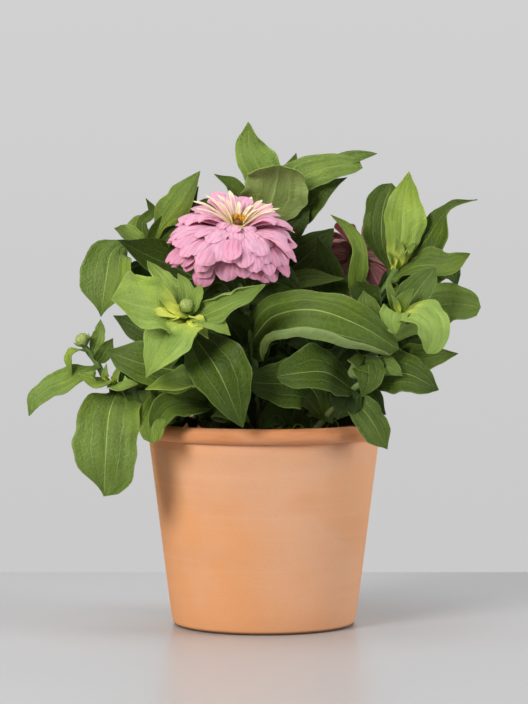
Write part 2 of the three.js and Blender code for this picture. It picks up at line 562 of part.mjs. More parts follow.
// The petals of a bloom's rings from one level up to, but not including, another.
function petalSolids(bloom, from, to) {
  const place = placement(bloom.centre, bloom.axis);
  const petals = [];
  let turn = 0.3;
  let count = bloom.seed;
  bloom.rings.forEach((ring, level) => {
    for (let k = 0; k < ring.count; k += 1) {
      count += 1;
      const angle = turn + (2 * Math.PI * (k + PETAL_DRIFT * jitter(count))) / ring.count;
      const tilt = PETAL_TILT * jitter(count + 0.5);
      const grid = petalGrid(ring, angle, tilt, 1 + PETAL_STRETCH * jitter(count + 0.25));
      if (level < from || level >= to) continue;
      const placed = grid.map((row) => row.map((point) => point.applyMatrix4(place)));
      petals.push(bladeSolid(placed, PETAL_THICKNESS));
    }
    turn += Math.PI / ring.count + RING_TURN;
  });
  return petals;
}

// The core that a bloom's coloured petals stand in, from its underside to its shoulder.
function coreSolid(bloom) {
  const bottom = coreBottom(bloom);
  const belt = bloom.core + 1;
  const profile = [
    [0, bottom],
    [belt, bottom + 1],
    [belt, bloom.shoulder - 3],
    [belt - 2.5, bloom.shoulder],
    [0, bloom.shoulder],
  ];
  return solid(turnedShape(profile, CORE_SIDES).applyMatrix4(placement(bloom.centre, bloom.axis)));
}

// The smaller core that the main bloom's cream petals stand in.
function innerCoreSolid(bloom) {
  const bottom = bloom.shoulder + GAP;
  const profile = [[0, bottom], [5.4, bottom], [4.6, bloom.top], [0, bloom.top]];
  return solid(turnedShape(profile, CORE_SIDES).applyMatrix4(placement(bloom.centre, bloom.axis)));
}

// The dome of golden florets in the middle of a bloom, from a height above its centre.
function discSolids(bloom, bottom) {
  const { radius, height, florets } = bloom.disc;
  const place = placement(bloom.centre, bloom.axis);
  const dome = [
    [0, bottom],
    [radius, bottom],
    [0.8 * radius, bottom + 0.4 * height],
    [0, bottom + 0.5 * height],
  ];
  const floret = [[0, -1], [0.6, -0.5], [0.9, 0.7 * height], [0, 0.8 * height]];
  const parts = [solid(turnedShape(dome, CORE_SIDES).applyMatrix4(place))];
  for (let k = 0; k < florets; k += 1) {
    const angle = GOLDEN_TURN * k;
    const share = 0.85 * Math.sqrt((k + 0.5) / florets);
    const [x, y] = [share * Math.cos(angle), share * Math.sin(angle)];
    const spot = [radius * x, radius * y, bottom + 0.35 * height];
    const shape = turnedShape(floret, 4).applyMatrix4(placement(spot, [0.5 * x, 0.5 * y, 1]));
    parts.push(solid(shape.applyMatrix4(place)));
  }
  return parts;
}

function mainBloom() {
  const { pink, rings, top } = MAIN_BLOOM;
  const outer = [coreSolid(MAIN_BLOOM), ...petalSolids(MAIN_BLOOM, 0, pink)];
  const inner = [innerCoreSolid(MAIN_BLOOM), ...petalSolids(MAIN_BLOOM, pink, rings.length)];
  return [
    namedMesh('main_petals', fuse(outer), material(PETAL_PINK, 0.65)),
    namedMesh('main_inner_petals', fuse(inner), material(PETAL_CREAM, 0.65)),
    namedMesh('main_disc', fuse(discSolids(MAIN_BLOOM, top + GAP)), material(FLORET_GOLD, 0.7)),
  ];
}

function fadedBloom() {
  const { rings, shoulder } = FADED_BLOOM;
  const petals = [coreSolid(FADED_BLOOM), ...petalSolids(FADED_BLOOM, 0, rings.length)];
  return [
    namedMesh('faded_petals', fuse(petals), material(PETAL_FADED, 0.8)),
    namedMesh('faded_disc', fuse(discSolids(FADED_BLOOM, shoulder + GAP)), material(FLORET_BROWN, 0.8)),
  ];
}

// Outside radius of the pot's wall at a height.
const wallRadius = (z) => FOOT_RADIUS + ((NECK_RADIUS - FOOT_RADIUS) * z) / (POT_HEIGHT - RIM_ROLL);

function pot() {
  const neck = POT_HEIGHT - RIM_ROLL;
  const inside = wallRadius(neck) - WALL;
  const roll = RIM_ROLL / 2;
  const centre = RIM_RADIUS - roll;
  const profile = [[0, 0], [FOOT_RADIUS - EDGE, 0], [wallRadius(EDGE), EDGE], [NECK_RADIUS, neck]];
  for (let k = 0; k <= ROLL_FACES; k += 1) {
    const angle = -Math.PI / 2 + (Math.PI * k) / ROLL_FACES;
    profile.push([centre + roll * Math.cos(angle), neck + roll + roll * Math.sin(angle)]);
  }
  profile.push([inside + EDGE, POT_HEIGHT], [inside, neck]);
  profile.push([wallRadius(FLOOR) - WALL, FLOOR], [0, FLOOR]);
  const shell = solid(turnedShape(profile, POT_SIDES));
  const drains = [];
  for (let k = 0; k < DRAIN_COUNT; k += 1) {
    const angle = Math.PI / 2 + (2 * Math.PI * k) / DRAIN_COUNT;
    const bore = new THREE.CylinderGeometry(DRAIN_RADIUS, DRAIN_RADIUS, 3 * FLOOR, 16);
    bore.rotateX(Math.PI / 2);
    bore.translate(DRAIN_CIRCLE * Math.cos(angle), DRAIN_CIRCLE * Math.sin(angle), 0);
    drains.push(solid(bore));
  }
  const body = drains.reduce((sum, bore) => sum.subtract(bore), shell);
  return namedMesh('pot', body, material(TERRACOTTA, 0.9));
}

// The lie of the soil's surface at a place: a sum of waves of unlike length.
function lumps(x, y) {
  return Math.sin(0.31 * x + 1.7) * Math.cos(0.27 * y - 0.6) + 0.6 * Math.sin(0.83 * x - 0.71 * y);
}

function soil() {
  const clearance = WALL + GAP + 0.1;
  const edge = wallRadius(SOIL_TOP) - clearance;
  const bottom = FLOOR + GAP;
  const profile = [[0, bottom], [wallRadius(bottom) - clearance, bottom], [edge, SOIL_TOP - 1]];
  for (let k = SOIL_RINGS - 1; k >= 0; k -= 1) profile.push([(edge * k) / SOIL_RINGS, SOIL_TOP]);
  const heap = turnedShape(profile, POT_SIDES);
  const spots = heap.getAttribute('position');
  for (let i = 0; i < spots.count; i += 1) {
    const [x, y, z] = [spots.getX(i), spots.getY(i), spots.getZ(i)];
    if (z > SOIL_TOP - 0.5) spots.setZ(i, z + LUMP * lumps(x, y));
  }
  let body = solid(heap);
  for (const { radius, points } of Object.values(STEMS)) {
    const [root, next] = points.map(vector);
    const down = root.clone().sub(next).normalize();
    const bottomOfBore = root.clone().addScaledVector(down, BORE_END);
    const topOfBore = root.clone().addScaledVector(down, -BORE_LENGTH);
    const bore = (radius + GAP + 0.2) / Math.cos(Math.PI / STEM_SIDES);
    body = body.subtract(rod(new THREE.LineCurve3(bottomOfBore, topOfBore), bore, 1));
  }
  return namedMesh('soil', body, material(SOIL_BROWN, 1));
}

const plant = new THREE.Group();
plant.add(pot(), soil());
for (const key of Object.keys(STEMS)) plant.add(leafyStem(key));
plant.add(...mainBloom(), ...fadedBloom());

export default plant;
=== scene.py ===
"""Potted common zinnia: a terracotta pot of soil, twelve leafy stems, two buds and two double blooms.

Run as a script, it loads the plain frame and models every leaf, petal, floret and crumb on it. The
tables are in millimetres, in the frame's axes: +Z up, with the open bloom towards -Y. The meshes are
in metres.
"""
import math
from contextlib import contextmanager
from types import SimpleNamespace

import bpy
import numpy as np
from mathutils import Matrix, Quaternion, Vector, noise


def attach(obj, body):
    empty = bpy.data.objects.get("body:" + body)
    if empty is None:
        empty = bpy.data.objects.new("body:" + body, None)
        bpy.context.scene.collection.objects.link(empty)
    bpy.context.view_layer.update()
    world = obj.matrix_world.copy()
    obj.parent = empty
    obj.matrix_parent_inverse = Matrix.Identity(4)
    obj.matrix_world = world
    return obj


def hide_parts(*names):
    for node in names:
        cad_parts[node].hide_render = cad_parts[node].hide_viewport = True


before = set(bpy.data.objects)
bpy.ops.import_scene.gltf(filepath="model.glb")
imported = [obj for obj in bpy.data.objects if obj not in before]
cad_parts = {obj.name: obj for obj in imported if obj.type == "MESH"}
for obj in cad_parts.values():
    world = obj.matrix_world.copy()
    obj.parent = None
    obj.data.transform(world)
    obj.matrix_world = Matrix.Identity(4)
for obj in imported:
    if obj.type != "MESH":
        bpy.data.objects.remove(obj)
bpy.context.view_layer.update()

bl_info = {
    "name": "Potted Common Zinnia",
    "version": (1, 0, 0),
    "blender": (4, 5, 0),
    "location": "View3D > Sidebar > Zinnia",
    "description": "Models a zinnia with its leaves, buds and blooms in a terracotta pot",
    "category": "Add Mesh",
}

MM = 0.001
UP = Vector((0, 0, 1))
DOUBLES = 2e-6  # metres: points nearer than this are one


def leaf(stem, at, path, right, left, face, **shape):
    """A leaf's row of the table, with the usual values for what the row leaves out."""
    usual = dict(turned=face, fold=(10, 10), wave=1.2, belly=0.42, lean=0, full=0.78, slant=0,
                 curl=(0, 0), tone=(0.1, 0.1, 0.1))
    return SimpleNamespace(stem=stem, at=at, path=path, right=right, left=left, face=face,
                           **{**usual, **shape})


def ring(count, root, height, angles, length, half, **shape):
    """A ring of petals: root and height are measured from the bloom's axis and centre, and a petal
    leaves its root at the first angle above level and ends at the second. widths are its shares of
    the half width from the root to where its round end starts, roll how far its edges turn up, and
    front the share of its length that a petal keeps where it faces -Y as squarely as the second number
    says, faces how squarely they all face there, and lean how many degrees the rear ones stand up."""
    usual = dict(widths=(0.2, 0.42, 0.74, 0.95, 1.0), roll=-0.35, front=(1, 2), faces=(-1, 1), lean=0)
    return SimpleNamespace(count=count, root=root, height=height, angles=angles, length=length, half=half,
                           **{**usual, **shape})


# Each stem: radius, and the points it passes through from its root in the soil to its top.
STEMS = {
    "flower": (2.3, ((-2, -8, 92), (-4, -24, 140), (-9, -36, 180), (-16, -42, 213), (-17, -40, 221))),
    "bud": (2.2, ((-22, -16, 92), (-30, -40, 138), (-39, -60, 170), (-44, -72, 189))),
    "side": (1.9, ((-32, -6, 92), (-54, -22, 120), (-77, -32, 139), (-92, -38, 148), (-98, -41, 159),
                   (-106, -43, 170))),
    "left": (2.2, ((-22, 10, 92), (-38, 10, 150), (-58, 6, 200), (-71, 2, 227))),
    "crown": (2.4, ((2, 10, 92), (2, 12, 150), (0, 12, 210), (-2, 10, 246))),
    "high": (2.3, ((22, 2, 92), (43, 2, 145), (66, 0, 190), (80, -4, 214))),
    "middle": (2.1, ((24, -14, 92), (46, -30, 135), (67, -42, 168), (80, -48, 188))),
    "low": (2, ((14, -26, 92), (30, -44, 120), (49, -56, 142), (61, -60, 152))),
    "faded": (2.1, ((14, 16, 92), (28, 20, 150), (44, 14, 190), (51, 14, 208), (53.9, 22, 215.1))),
    "rear_left": (2.1, ((-14, 24, 92), (-30, 40, 145), (-47, 54, 185), (-54, 62, 204))),
    "rear": (2.2, ((2, 28, 92), (4, 52, 145), (3, 70, 190), (2, 78, 214))),
    "rear_right": (2.1, ((22, 26, 92), (42, 44, 138), (62, 60, 170), (72, 68, 186))),
}

# Each leaf: its stem, how far along that it sits, the points its midrib runs through, the width of its
# right and left half and the way its upper face looks. turned is the way it looks at the tip, fold the
# fold of each half in degrees, wave the height of the waves in its margin, belly the place of its
# widest part, lean how much sooner that comes on the right half than on the left, full how slender its
# shoulders are, slant how much more so on the right half, curl how many degrees the outer part of each
# half rolls up, and tone how young and how cool it is and how much painted shade darkens it.
LEAVES = [
    leaf("flower", 0.62, ((6, -56, 187), (29, -70, 191), (55, -72, 182), (78, -66, 168)), 27, 14,
         (0, -0.85, 0.5), fold=(6, 4), wave=1.5, belly=0.4, full=0.46, curl=(150, 0),
         tone=(0.12, 0.2, 0)),
    leaf("flower", 0.5, ((-24, -46, 186), (-43, -48, 194)), 12, 12, (0.1, -0.85, 0.5),
         tone=(0, 0.1, 0.4)),
    leaf("crown", 0.6, ((-52, -8, 214), (-70, -14, 222), (-87, -20, 231)), 15, 15, (0.1, -0.75, 0.65),
         belly=0.6, tone=(0, 0.2, 0.35)),
    leaf("crown", 0.55, ((21, -10, 205), (48, -16, 208)), 9, 9, (0, -0.8, 0.6), tone=(0.1, 0.1, 0.15)),
    leaf("bud", 0.97, ((-57, -82, 191), (-70, -94, 193.5), (-86, -106, 198)), 22, 19,
         (0.45, -0.75, 0.45), wave=2.6, belly=0.56, lean=-0.05, full=0.85, tone=(0.98, 0.15, 0)),
    leaf("bud", 0.955, ((-51.5, -90.5, 181), (-60, -94, 168), (-67, -93, 153)), 13.5, 16.5, (0, -0.8, 0.6),
         wave=1.4, belly=0.4, full=0.85, tone=(1.02, 0.05, 0)),
    leaf("bud", 0.97, ((-58, -62, 207), (-68, -52, 219)), 8, 8, (0.5, -0.7, 0.4), tone=(0.85, 0.15, 0)),
    leaf("bud", 0.98, ((-46, -65, 205), (-50, -61, 212)), 5, 5, (0.1, -0.9, 0.3), wave=0.5,
         tone=(0.8, 0.1, 0)),
    leaf("bud", 0.95, ((-18, -86, 195), (1, -94, 206)), 10, 12, (0, -0.75, 0.65), curl=(0, 150),
         tone=(0.55, 0.05, 0)),
    leaf("bud", 0.92, ((-29, -87, 184), (-19, -91, 177)), 8, 8, (0.2, -0.6, 0.75), wave=0.8,
         tone=(0.7, 0.2, 0)),
    leaf("bud", 0.86, ((-26, -88, 156), (-12, -86, 124)), 15.5, 18, (0.1, -0.95, 0.25), full=0.75,
         tone=(-0.06, 0.1, 0.15)),
    leaf("bud", 0.6, ((-72, -63, 160), (-92, -60, 167)), 16, 15, (0.1, -0.88, 0.4),
         tone=(0.15, 0.05, 0)),
    leaf("bud", 0.52, ((-52, -78, 148), (-68, -86, 146)), 11, 11, (0, -0.7, 0.7), fold=(34, 30),
         tone=(0.81, 0.2, 0)),
    leaf("bud", 0.42, ((-56, -64, 133), (-65.5, -70, 117)), 11, 11, (-0.1, -0.9, 0.4), fold=(34, 30),
         belly=0.5, tone=(0.15, 0.1, 0)),
    leaf("bud", 0.3, ((-24, -54, 136), (-8, -55, 125)), 11, 11, (0, -0.9, 0.45), tone=(0, 0.1, 0.5)),
    leaf("side", 0.86,
         ((-106, -48, 154), (-115, -52, 148.5), (-125, -54, 145), (-133, -54, 138), (-137, -52, 128.5)),
         9, 9, (-0.3, -0.75, 0.6), belly=0.5, tone=(0.55, 1, 0)),
    leaf("side", 0.78, ((-98, -51, 148.5), (-108, -53, 154)), 6, 6, (0, -0.7, 0.7), wave=0.5,
         tone=(0.92, 0, 0)),
    leaf("side", 0.74, ((-84, -50, 146), (-73, -55, 147.5)), 6, 6.5, (0, -0.7, 0.7), wave=0.5,
         tone=(0.88, 0, 0)),
    leaf("side", 0.7, ((-90, -60, 130), (-91.5, -68, 106), (-93, -62, 82.5)), 21, 20,
         (-0.1, -0.98, 0.1), wave=3, belly=0.54, slant=0.36, tone=(0.38, 0, 0)),
    leaf("side", 0.95, ((-111, -50, 167), (-114, -50, 163), (-112, -51, 152)), 3, 3, (-0.5, -0.6, 0.6),
         wave=0.3, tone=(0.7, 0, 0)),
    leaf("side", 0.93, ((-97, -38, 175), (-96, -36, 184.5)), 4.2, 4.2, (0.1, -0.9, 0.3), wave=0.4,
         tone=(0.7, 0.1, 0)),
    leaf("side", 0.88, ((-93, -49, 166), (-88, -51, 174)), 5, 5, (0.3, -0.9, 0.3), wave=0.4,
         tone=(0.25, 0.4, 0)),
    leaf("left", 0.96, ((-80, -8, 229.5), (-90, -17, 224), (-93.5, -24, 207), (-96.5, -25, 185.5)), 17.5,
         17.5, (-0.2, -0.85, 0.45), wave=1.6, belly=0.67, full=1.3, tone=(0.32, 0.2, 0)),
    leaf("left", 0.99, ((-82, 4, 235), (-90, 2, 238)), 6, 6, (-0.3, -0.8, 0.5), wave=0.6, full=0.7,
         tone=(0.6, 0.1, 0)),
    leaf("left", 0.97, ((-77, 10, 238), (-70, 10, 247)), 7, 7, (-0.3, -0.8, 0.5), wave=0.6,
         tone=(0.44, 0.2, 0)),
    leaf("left", 0.99, ((-73, 5, 241), (-67, 4, 248), (-71, 4, 256)), 4, 4, (-0.5, -0.8, 0.2),
         wave=0.4, tone=(0.1, 0.3, 0.2)),
    leaf("left", 0.98, ((-61, -5, 239), (-51, -10, 252), (-38, -8, 272)), 6.5, 12, (-0.5, -0.65, 0.5),
         fold=(-45, 10), wave=2, belly=0.56, tone=(0.4, 0, 0)),
    leaf("left", 0.82, ((-76, -2, 210), (-79, -6, 192)), 9, 9, (-0.3, -0.9, 0.3), tone=(0, 0.2, 0.5)),
    leaf("crown", 0.98, ((0.5, 16, 264), (-9, 14, 287), (-9.5, 8, 302)), 13, 12, (0, -0.95, 0.3), full=0.7,
         tone=(0.82, 0.15, 0)),
    leaf("crown", 0.94, ((5, 2, 255), (8, -4, 268), (9, -14, 275.5)), 20, 20, (0, 0.9, 0.3),
         turned=(0, 0.5, 0.85), fold=(0, -20), wave=1.6, belly=0.62, full=0.36, tone=(0.6, 0.1, 0)),
    leaf("crown", 0.96, ((14, 18, 264), (19.5, 18, 283.5)), 9.5, 9.5, (0, -0.9, 0.4), tone=(0.3, 0.2, 0)),
    leaf("crown", 0.9, ((12, 6, 262), (26, 3, 270), (40, 0, 274.5), (52, -2, 275.5), (59, -3, 274)),
         9.5, 10.5, (0.05, -0.85, 0.5), fold=(-12, 14), wave=1.6, belly=0.6, full=0.5, tone=(0.54, 0.1, 0)),
    leaf("crown", 0.92, ((-19, 8, 263), (-30, 6, 270.5)), 7, 7, (0, -0.8, 0.6), tone=(0.15, 0.1, 0)),
    leaf("high", 0.98, ((82, -5, 234), (83, -4, 251), (86.5, -6, 272)), 13.5, 11, (0.1, -0.9, 0.3),
         belly=0.48, tone=(0.93, 0.1, 0)),
    leaf("high", 0.96, ((71, 2, 230), (71.5, 5, 249), (77, 7, 265)), 11.5, 12, (-0.35, -0.9, 0.1),
         fold=(10, 16), belly=0.66, full=0.6, tone=(0.08, 0.3, 0)),
    leaf("high", 0.93, ((97, -3, 231), (107, -6, 246), (113.5, -8, 252), (127.5, -6, 255)), 17, 9,
         (-0.1, -0.9, 0.4), turned=(0.1, -0.3, 1), belly=0.38, lean=0.04, full=1, tone=(0.02, 0, 0)),
    leaf("high", 0.95, ((92, -20, 215.5), (107, -26, 216.5), (122, -24, 223)), 12, 12, (0.1, -0.7, 0.7),
         wave=2.4, full=0.7, tone=(0.22, 0.1, 0)),
    leaf("high", 0.88, ((98, -12, 212), (111, -14, 212), (115, -14, 203)), 12.5, 12, (0.2, -0.8, 0.6),
         tone=(0.1, 0.2, 0.1)),
    leaf("high", 0.62, ((55, -14, 214), (55.5, -16, 226), (50, -16, 237), (39.5, -16, 246)), 6, 5.5,
         (0.5, -0.8, 0.2), fold=(26, 10), belly=0.6, tone=(0.4, 0, 0)),
    leaf("high", 0.5, ((38, -6, 214), (31, -9, 234)), 11, 11, (-0.2, -0.9, 0.3), tone=(0, 0.2, 0.5)),
    leaf("middle", 0.84, ((103, -26, 192), (117, -24, 193), (128.5, -21, 191)), 13, 13,
         (0.1, -0.92, 0.35), belly=0.6, full=0.4, tone=(0.42, 0.2, 0)),
    leaf("middle", 0.97, ((89, -60, 189), (96.5, -66, 182), (97.5, -67, 173), (94, -66, 165.5)), 13,
         13, (0.1, -0.6, 0.8), turned=(0.3, -0.9, 0.25), full=0.6, tone=(0.97, 0.1, 0)),
    leaf("middle", 0.95, ((76, -59, 189), (74, -65, 183), (76, -68, 177)), 8.5, 8.5, (0, -0.7, 0.7),
         turned=(0, -0.95, 0.1), wave=0.6, full=0.6, tone=(0.85, 0.05, 0)),
    leaf("middle", 0.92, ((93, -46, 206), (101, -42, 215)), 10, 10, (0.1, -0.8, 0.5), belly=0.5,
         tone=(0.2, 0.7, 0)),
    leaf("middle", 0.98, ((74, -53, 198), (72, -53, 209.5)), 2.8, 2.8, (0.2, -0.9, 0.3), wave=0.2,
         tone=(0.45, 0, 0)),
    leaf("middle", 0.99, ((81, -54, 196), (87, -56, 203)), 4, 4, (0, -0.9, 0.3), wave=0.3,
         tone=(0.5, 0.2, 0)),
    leaf("middle", 0.78, ((60, -50, 192), (58, -47, 202)), 9, 9, (-0.1, -0.8, 0.6),
         tone=(0.4, 0.1, 0)),
    leaf("middle", 0.62, ((96, -42, 162), (114, -40, 164.5)), 10, 10, (0.1, -0.9, 0.4),
         tone=(0.2, 0.1, 0)),
    leaf("low", 0.97, ((81, -65, 154), (101.5, -58, 144)), 13.5, 13.5, (0.1, -0.85, 0.5),
         tone=(0.04, 0.05, 0)),
    leaf("low", 0.85, ((35, -74, 155), (20, -80, 155), (7.5, -80, 153)), 15, 14, (-0.1, -0.85, 0.5), wave=2,
         belly=0.56, full=0.42, tone=(0, 0.1, 0.12)),
    leaf("low", 0.97, ((56, -68, 158.5), (48, -70, 162)), 9, 9, (-0.2, -0.7, 0.7), fold=(24, 24),
         tone=(0.05, 0.2, 0.1)),
    leaf("low", 0.8, ((61, -61, 128.5), (72, -51, 109)), 10.5, 9, (0.2, -0.95, 0.15), belly=0.45,
         tone=(0.15, 0.5, 0)),
    leaf("low", 0.56, ((26, -60, 146), (6, -64, 148), (-14, -66, 149)), 15, 15, (0, -0.95, 0.3),
         belly=0.5, tone=(0.05, 0.1, 0.25)),
]

# Each pair of opposite leaves: its stem and place on it, the compass heading of the first leaf in
# degrees from +X, the length of both leaves (0 for one that fell), the half width, the rise above
# level at the stem and how far the leaf has drooped by its tip.
PAIRS = [
    ("rear_left", 0.28, 37, (0, 26), 12, 14, 45),
    ("rear_left", 0.5, 127, (54, 36), 15, 20, 60),
    ("rear_left", 0.72, 37, (26, 48), 14, 22, 55),
    ("rear_left", 0.9, 127, (48, 34), 13, 35, 50),
    ("rear_left", 0.99, 37, (26, 30), 7, 55, 30),
    ("rear", 0.28, 0, (16, 12), 10, 14, 45),
    ("rear", 0.5, 90, (54, 34), 15, 20, 60),
    ("rear", 0.72, 0, (46, 34), 15, 22, 55),
    ("rear", 0.9, 90, (50, 36), 13, 35, 50),
    ("rear", 0.99, 0, (30, 30), 8, 55, 30),
    ("rear_right", 0.3, 133, (16, 44), 13, 22, 45),
    ("rear_right", 0.52, 43, (54, 16), 15, 20, 60),
    ("rear_right", 0.74, 133, (40, 44), 14, 22, 55),
    ("rear_right", 0.93, 43, (46, 30), 12, 35, 50),
    ("rear_right", 0.99, 133, (26, 30), 7, 55, 30),
    ("faded", 0.42, 95, (28, 26), 12, 12, 45),
    ("faded", 0.68, 20, (30, 34), 12, 20, 55),
    ("left", 0.34, 110, (40, 38), 13, 12, 50),
    ("left", 0.6, 175, (24, 50), 14, 18, 60),
    ("crown", 0.3, 60, (38, 38), 13, 10, 40),
    ("crown", 0.78, 110, (44, 0), 14, 20, 60),
    ("high", 0.36, 75, (31, 0), 12, 12, 50),
    ("high", 0.78, 40, (40, 0), 13, 20, 60),
]

# Leaves deep in the plant, which fill the gaps between those above. Little light reaches them, and their
# third tone paints shade on them as well.
INNER_LEAVES = [
    leaf("flower", 0.7, ((-26, -46, 206), (-44, -50, 192)), 11, 11, (0, -0.9, 0.4), tone=(0, 0.1, 0.3)),
    leaf("crown", 0.84, ((-20, 2, 246), (-34, -2, 252), (-46, -4, 248)), 6.5, 6.5, (0, -0.9, 0.4),
         tone=(0.08, 0.1, 0.1)),
    leaf("crown", 0.88, ((20, 9, 244), (28, 7, 252), (38, 5, 262), (50, 5, 268.5)), 8, 8, (0, -0.9, 0.2),
         tone=(0.05, 0, 0.1)),
    leaf("crown", 0.89, ((18, 9, 266), (38, 5, 275), (55, 0, 280.5), (67.5, -6, 282.5)), 5, 5.5,
         (0.05, -0.85, 0.5), belly=0.78, tone=(0.35, 0.1, 0)),
    leaf("left", 0.92, ((-62, -2, 232), (-48, -5, 248), (-39, -5, 263)), 8, 8, (0.1, -0.95, 0.3),
         tone=(0.02, 0.1, 0.15)),
    leaf("low", 0.99, ((60, -70, 159), (60, -76, 151), (56, -77, 141)), 9, 9.5, (-0.1, -0.7, 0.7),
         turned=(-0.2, -0.95, 0.1), wave=2.4, tone=(0.06, 0.1, 0.05)),
    leaf("low", 0.99, ((71, -68, 158), (80, -71, 153)), 7, 7, (0.1, -0.8, 0.6), tone=(0.3, 0.6, 0)),
    leaf("low", 0.6, ((48, -60, 140), (42, -62, 127)), 10, 10, (-0.1, -0.95, 0.2), tone=(0, 0.1, 0.5)),
    leaf("side", 0.36, ((-58, -52, 134), (-64, -67, 128), (-64, -72, 114)), 10, 9, (-0.1, -0.85, 0.5),
         turned=(-0.1, -1, 0.1), wave=1.6, belly=0.62, full=0.4, tone=(0.42, 0.1, 0)),
    leaf("bud", 0.7, ((-66, -52, 176), (-88, -48, 187)), 12, 11, (-0.1, -0.9, 0.4), tone=(0.05, 0.1, 0.3)),
    leaf("left", 0.7, ((-72, -6, 206), (-84, -12, 196)), 13, 13, (-0.2, -0.9, 0.3), tone=(0, 0.1, 0.35)),
    leaf("middle", 0.75, ((86, -36, 174), (98, -36, 170)), 12, 12, (0.1, -0.9, 0.4), tone=(0, 0.2, 0.4)),
    leaf("crown", 0.4, ((14, -6, 174), (24, -14, 160)), 13, 13, (0, -0.95, 0.3), tone=(0, 0.1, 0.5)),
    leaf("high", 0.5, ((64, -10, 178), (75, -20, 164)), 13, 13, (0, -0.95, 0.3), tone=(0, 0.1, 0.5)),
    leaf("crown", 0.7, ((-6, -4, 216), (-12, -16, 202)), 12, 12, (0, -0.95, 0.3), tone=(0, 0.1, 0.5)),
    leaf("crown", 0.6, ((22, 0, 206), (30, -8, 192)), 12, 12, (0, -0.95, 0.3), tone=(0, 0.1, 0.5)),
    leaf("side", 0.3, ((-66, -30, 134), (-71, -34, 116)), 8, 8, (-0.2, -0.95, 0.2), tone=(0.1, 0.1, 0.25)),
    leaf("crown", 0.72, ((24, 2, 220), (42, 0, 238)), 13, 13, (0.1, -0.9, 0.35), belly=0.5,
         tone=(0, 0.2, 0.4)),
    leaf("crown", 0.84, ((16, 6, 238), (28, 4, 252)), 9, 9, (0.1, -0.9, 0.3), tone=(0.05, 0.1, 0.4)),
    leaf("crown", 0.78, ((-16, 0, 228), (-30, -6, 240)), 12, 12, (-0.1, -0.85, 0.4), tone=(0, 0.1, 0.4)),
    leaf("crown", 0.45, ((20, -14, 176), (34, -24, 160)), 15, 15, (0.1, -0.9, 0.35), tone=(0, 0.1, 0.5)),
    leaf("crown", 0.35, ((-18, -8, 168), (-34, -20, 158)), 15, 15, (-0.1, -0.9, 0.35), tone=(0, 0.2, 0.5)),
    leaf("crown", 0.22, ((14, -8, 140), (22, -20, 124)), 14, 14, (0, -0.95, 0.25), tone=(0, 0.1, 0.5)),
    leaf("crown", 0.14, ((-12, -6, 132), (-26, -18, 122)), 13, 13, (0, -0.95, 0.25), tone=(0, 0.1, 0.5)),
    leaf("flower", 0.8, ((6, -38, 206), (24, -40, 198)), 12, 12, (0.1, -0.85, 0.45), tone=(0, 0.2, 0.4)),
    leaf("flower", 0.76, ((-30, -36, 204), (-46, -40, 196)), 11, 11, (-0.1, -0.85, 0.45),
         tone=(0, 0.1, 0.4)),
    leaf("flower", 0.3, ((10, -36, 150), (22, -42, 136)), 13, 13, (0.1, -0.95, 0.25), tone=(0, 0.1, 0.45)),
    leaf("flower", 0.18, ((-22, -30, 134), (-34, -36, 124)), 12, 12, (-0.1, -0.95, 0.25),
         tone=(0, 0.1, 0.45)),
    leaf("left", 0.45, ((-36, 0, 180), (-24, -8, 196)), 14, 14, (0.1, -0.9, 0.35), tone=(0, 0.1, 0.5)),
    leaf("left", 0.3, ((-52, -2, 150), (-62, -10, 138)), 13, 13, (-0.1, -0.9, 0.35), tone=(0, 0.1, 0.5)),
    leaf("left", 0.62, ((-70, -4, 196), (-82, -10, 184)), 11, 11, (-0.2, -0.9, 0.35),
         tone=(0, 0.2, 0.45)),
    leaf("side", 0.3, ((-56, -28, 132), (-66, -38, 122)), 11, 11, (-0.1, -0.95, 0.3),
         tone=(0, 0.1, 0.35)),
    leaf("side", 0.55, ((-74, -46, 142), (-68, -52, 130)), 9, 9, (0, -0.9, 0.4), tone=(0.1, 0.1, 0.3)),
    leaf("side", 0.45, ((-80, -30, 150), (-88, -34, 160)), 9, 9, (-0.1, -0.9, 0.4), tone=(0, 0.2, 0.3)),
    leaf("high", 0.4, ((44, -10, 166), (56, -18, 156)), 14, 14, (0.1, -0.9, 0.35), tone=(0, 0.2, 0.45)),
    leaf("high", 0.66, ((60, -12, 200), (52, -16, 190)), 10, 10, (0, -0.95, 0.3), tone=(0, 0.1, 0.4)),
    leaf("high", 0.8, ((92, 2, 208), (106, 0, 200)), 12, 12, (0.2, -0.85, 0.45), tone=(0, 0.2, 0.3)),
    leaf("middle", 0.42, ((52, -36, 158), (64, -42, 170)), 10, 10, (0, -0.9, 0.4), tone=(0, 0.3, 0.3)),
    leaf("middle", 0.3, ((58, -30, 138), (72, -32, 128)), 12, 12, (0.1, -0.9, 0.35), tone=(0, 0.2, 0.4)),
    leaf("low", 0.35, ((30, -46, 136), (40, -52, 124)), 11, 11, (0.1, -0.95, 0.25), tone=(0, 0.1, 0.45)),
    leaf("low", 0.2, ((8, -40, 128), (-2, -46, 120)), 11, 11, (0, -0.95, 0.25), tone=(0, 0.1, 0.5)),
    leaf("faded", 0.5, ((40, 4, 178), (50, -4, 190)), 13, 13, (0.1, -0.9, 0.35), tone=(0, 0.2, 0.5)),
    leaf("faded", 0.72, ((34, 6, 206), (24, -4, 214)), 13, 13, (-0.1, -0.9, 0.35), tone=(0, 0.1, 0.5)),
]
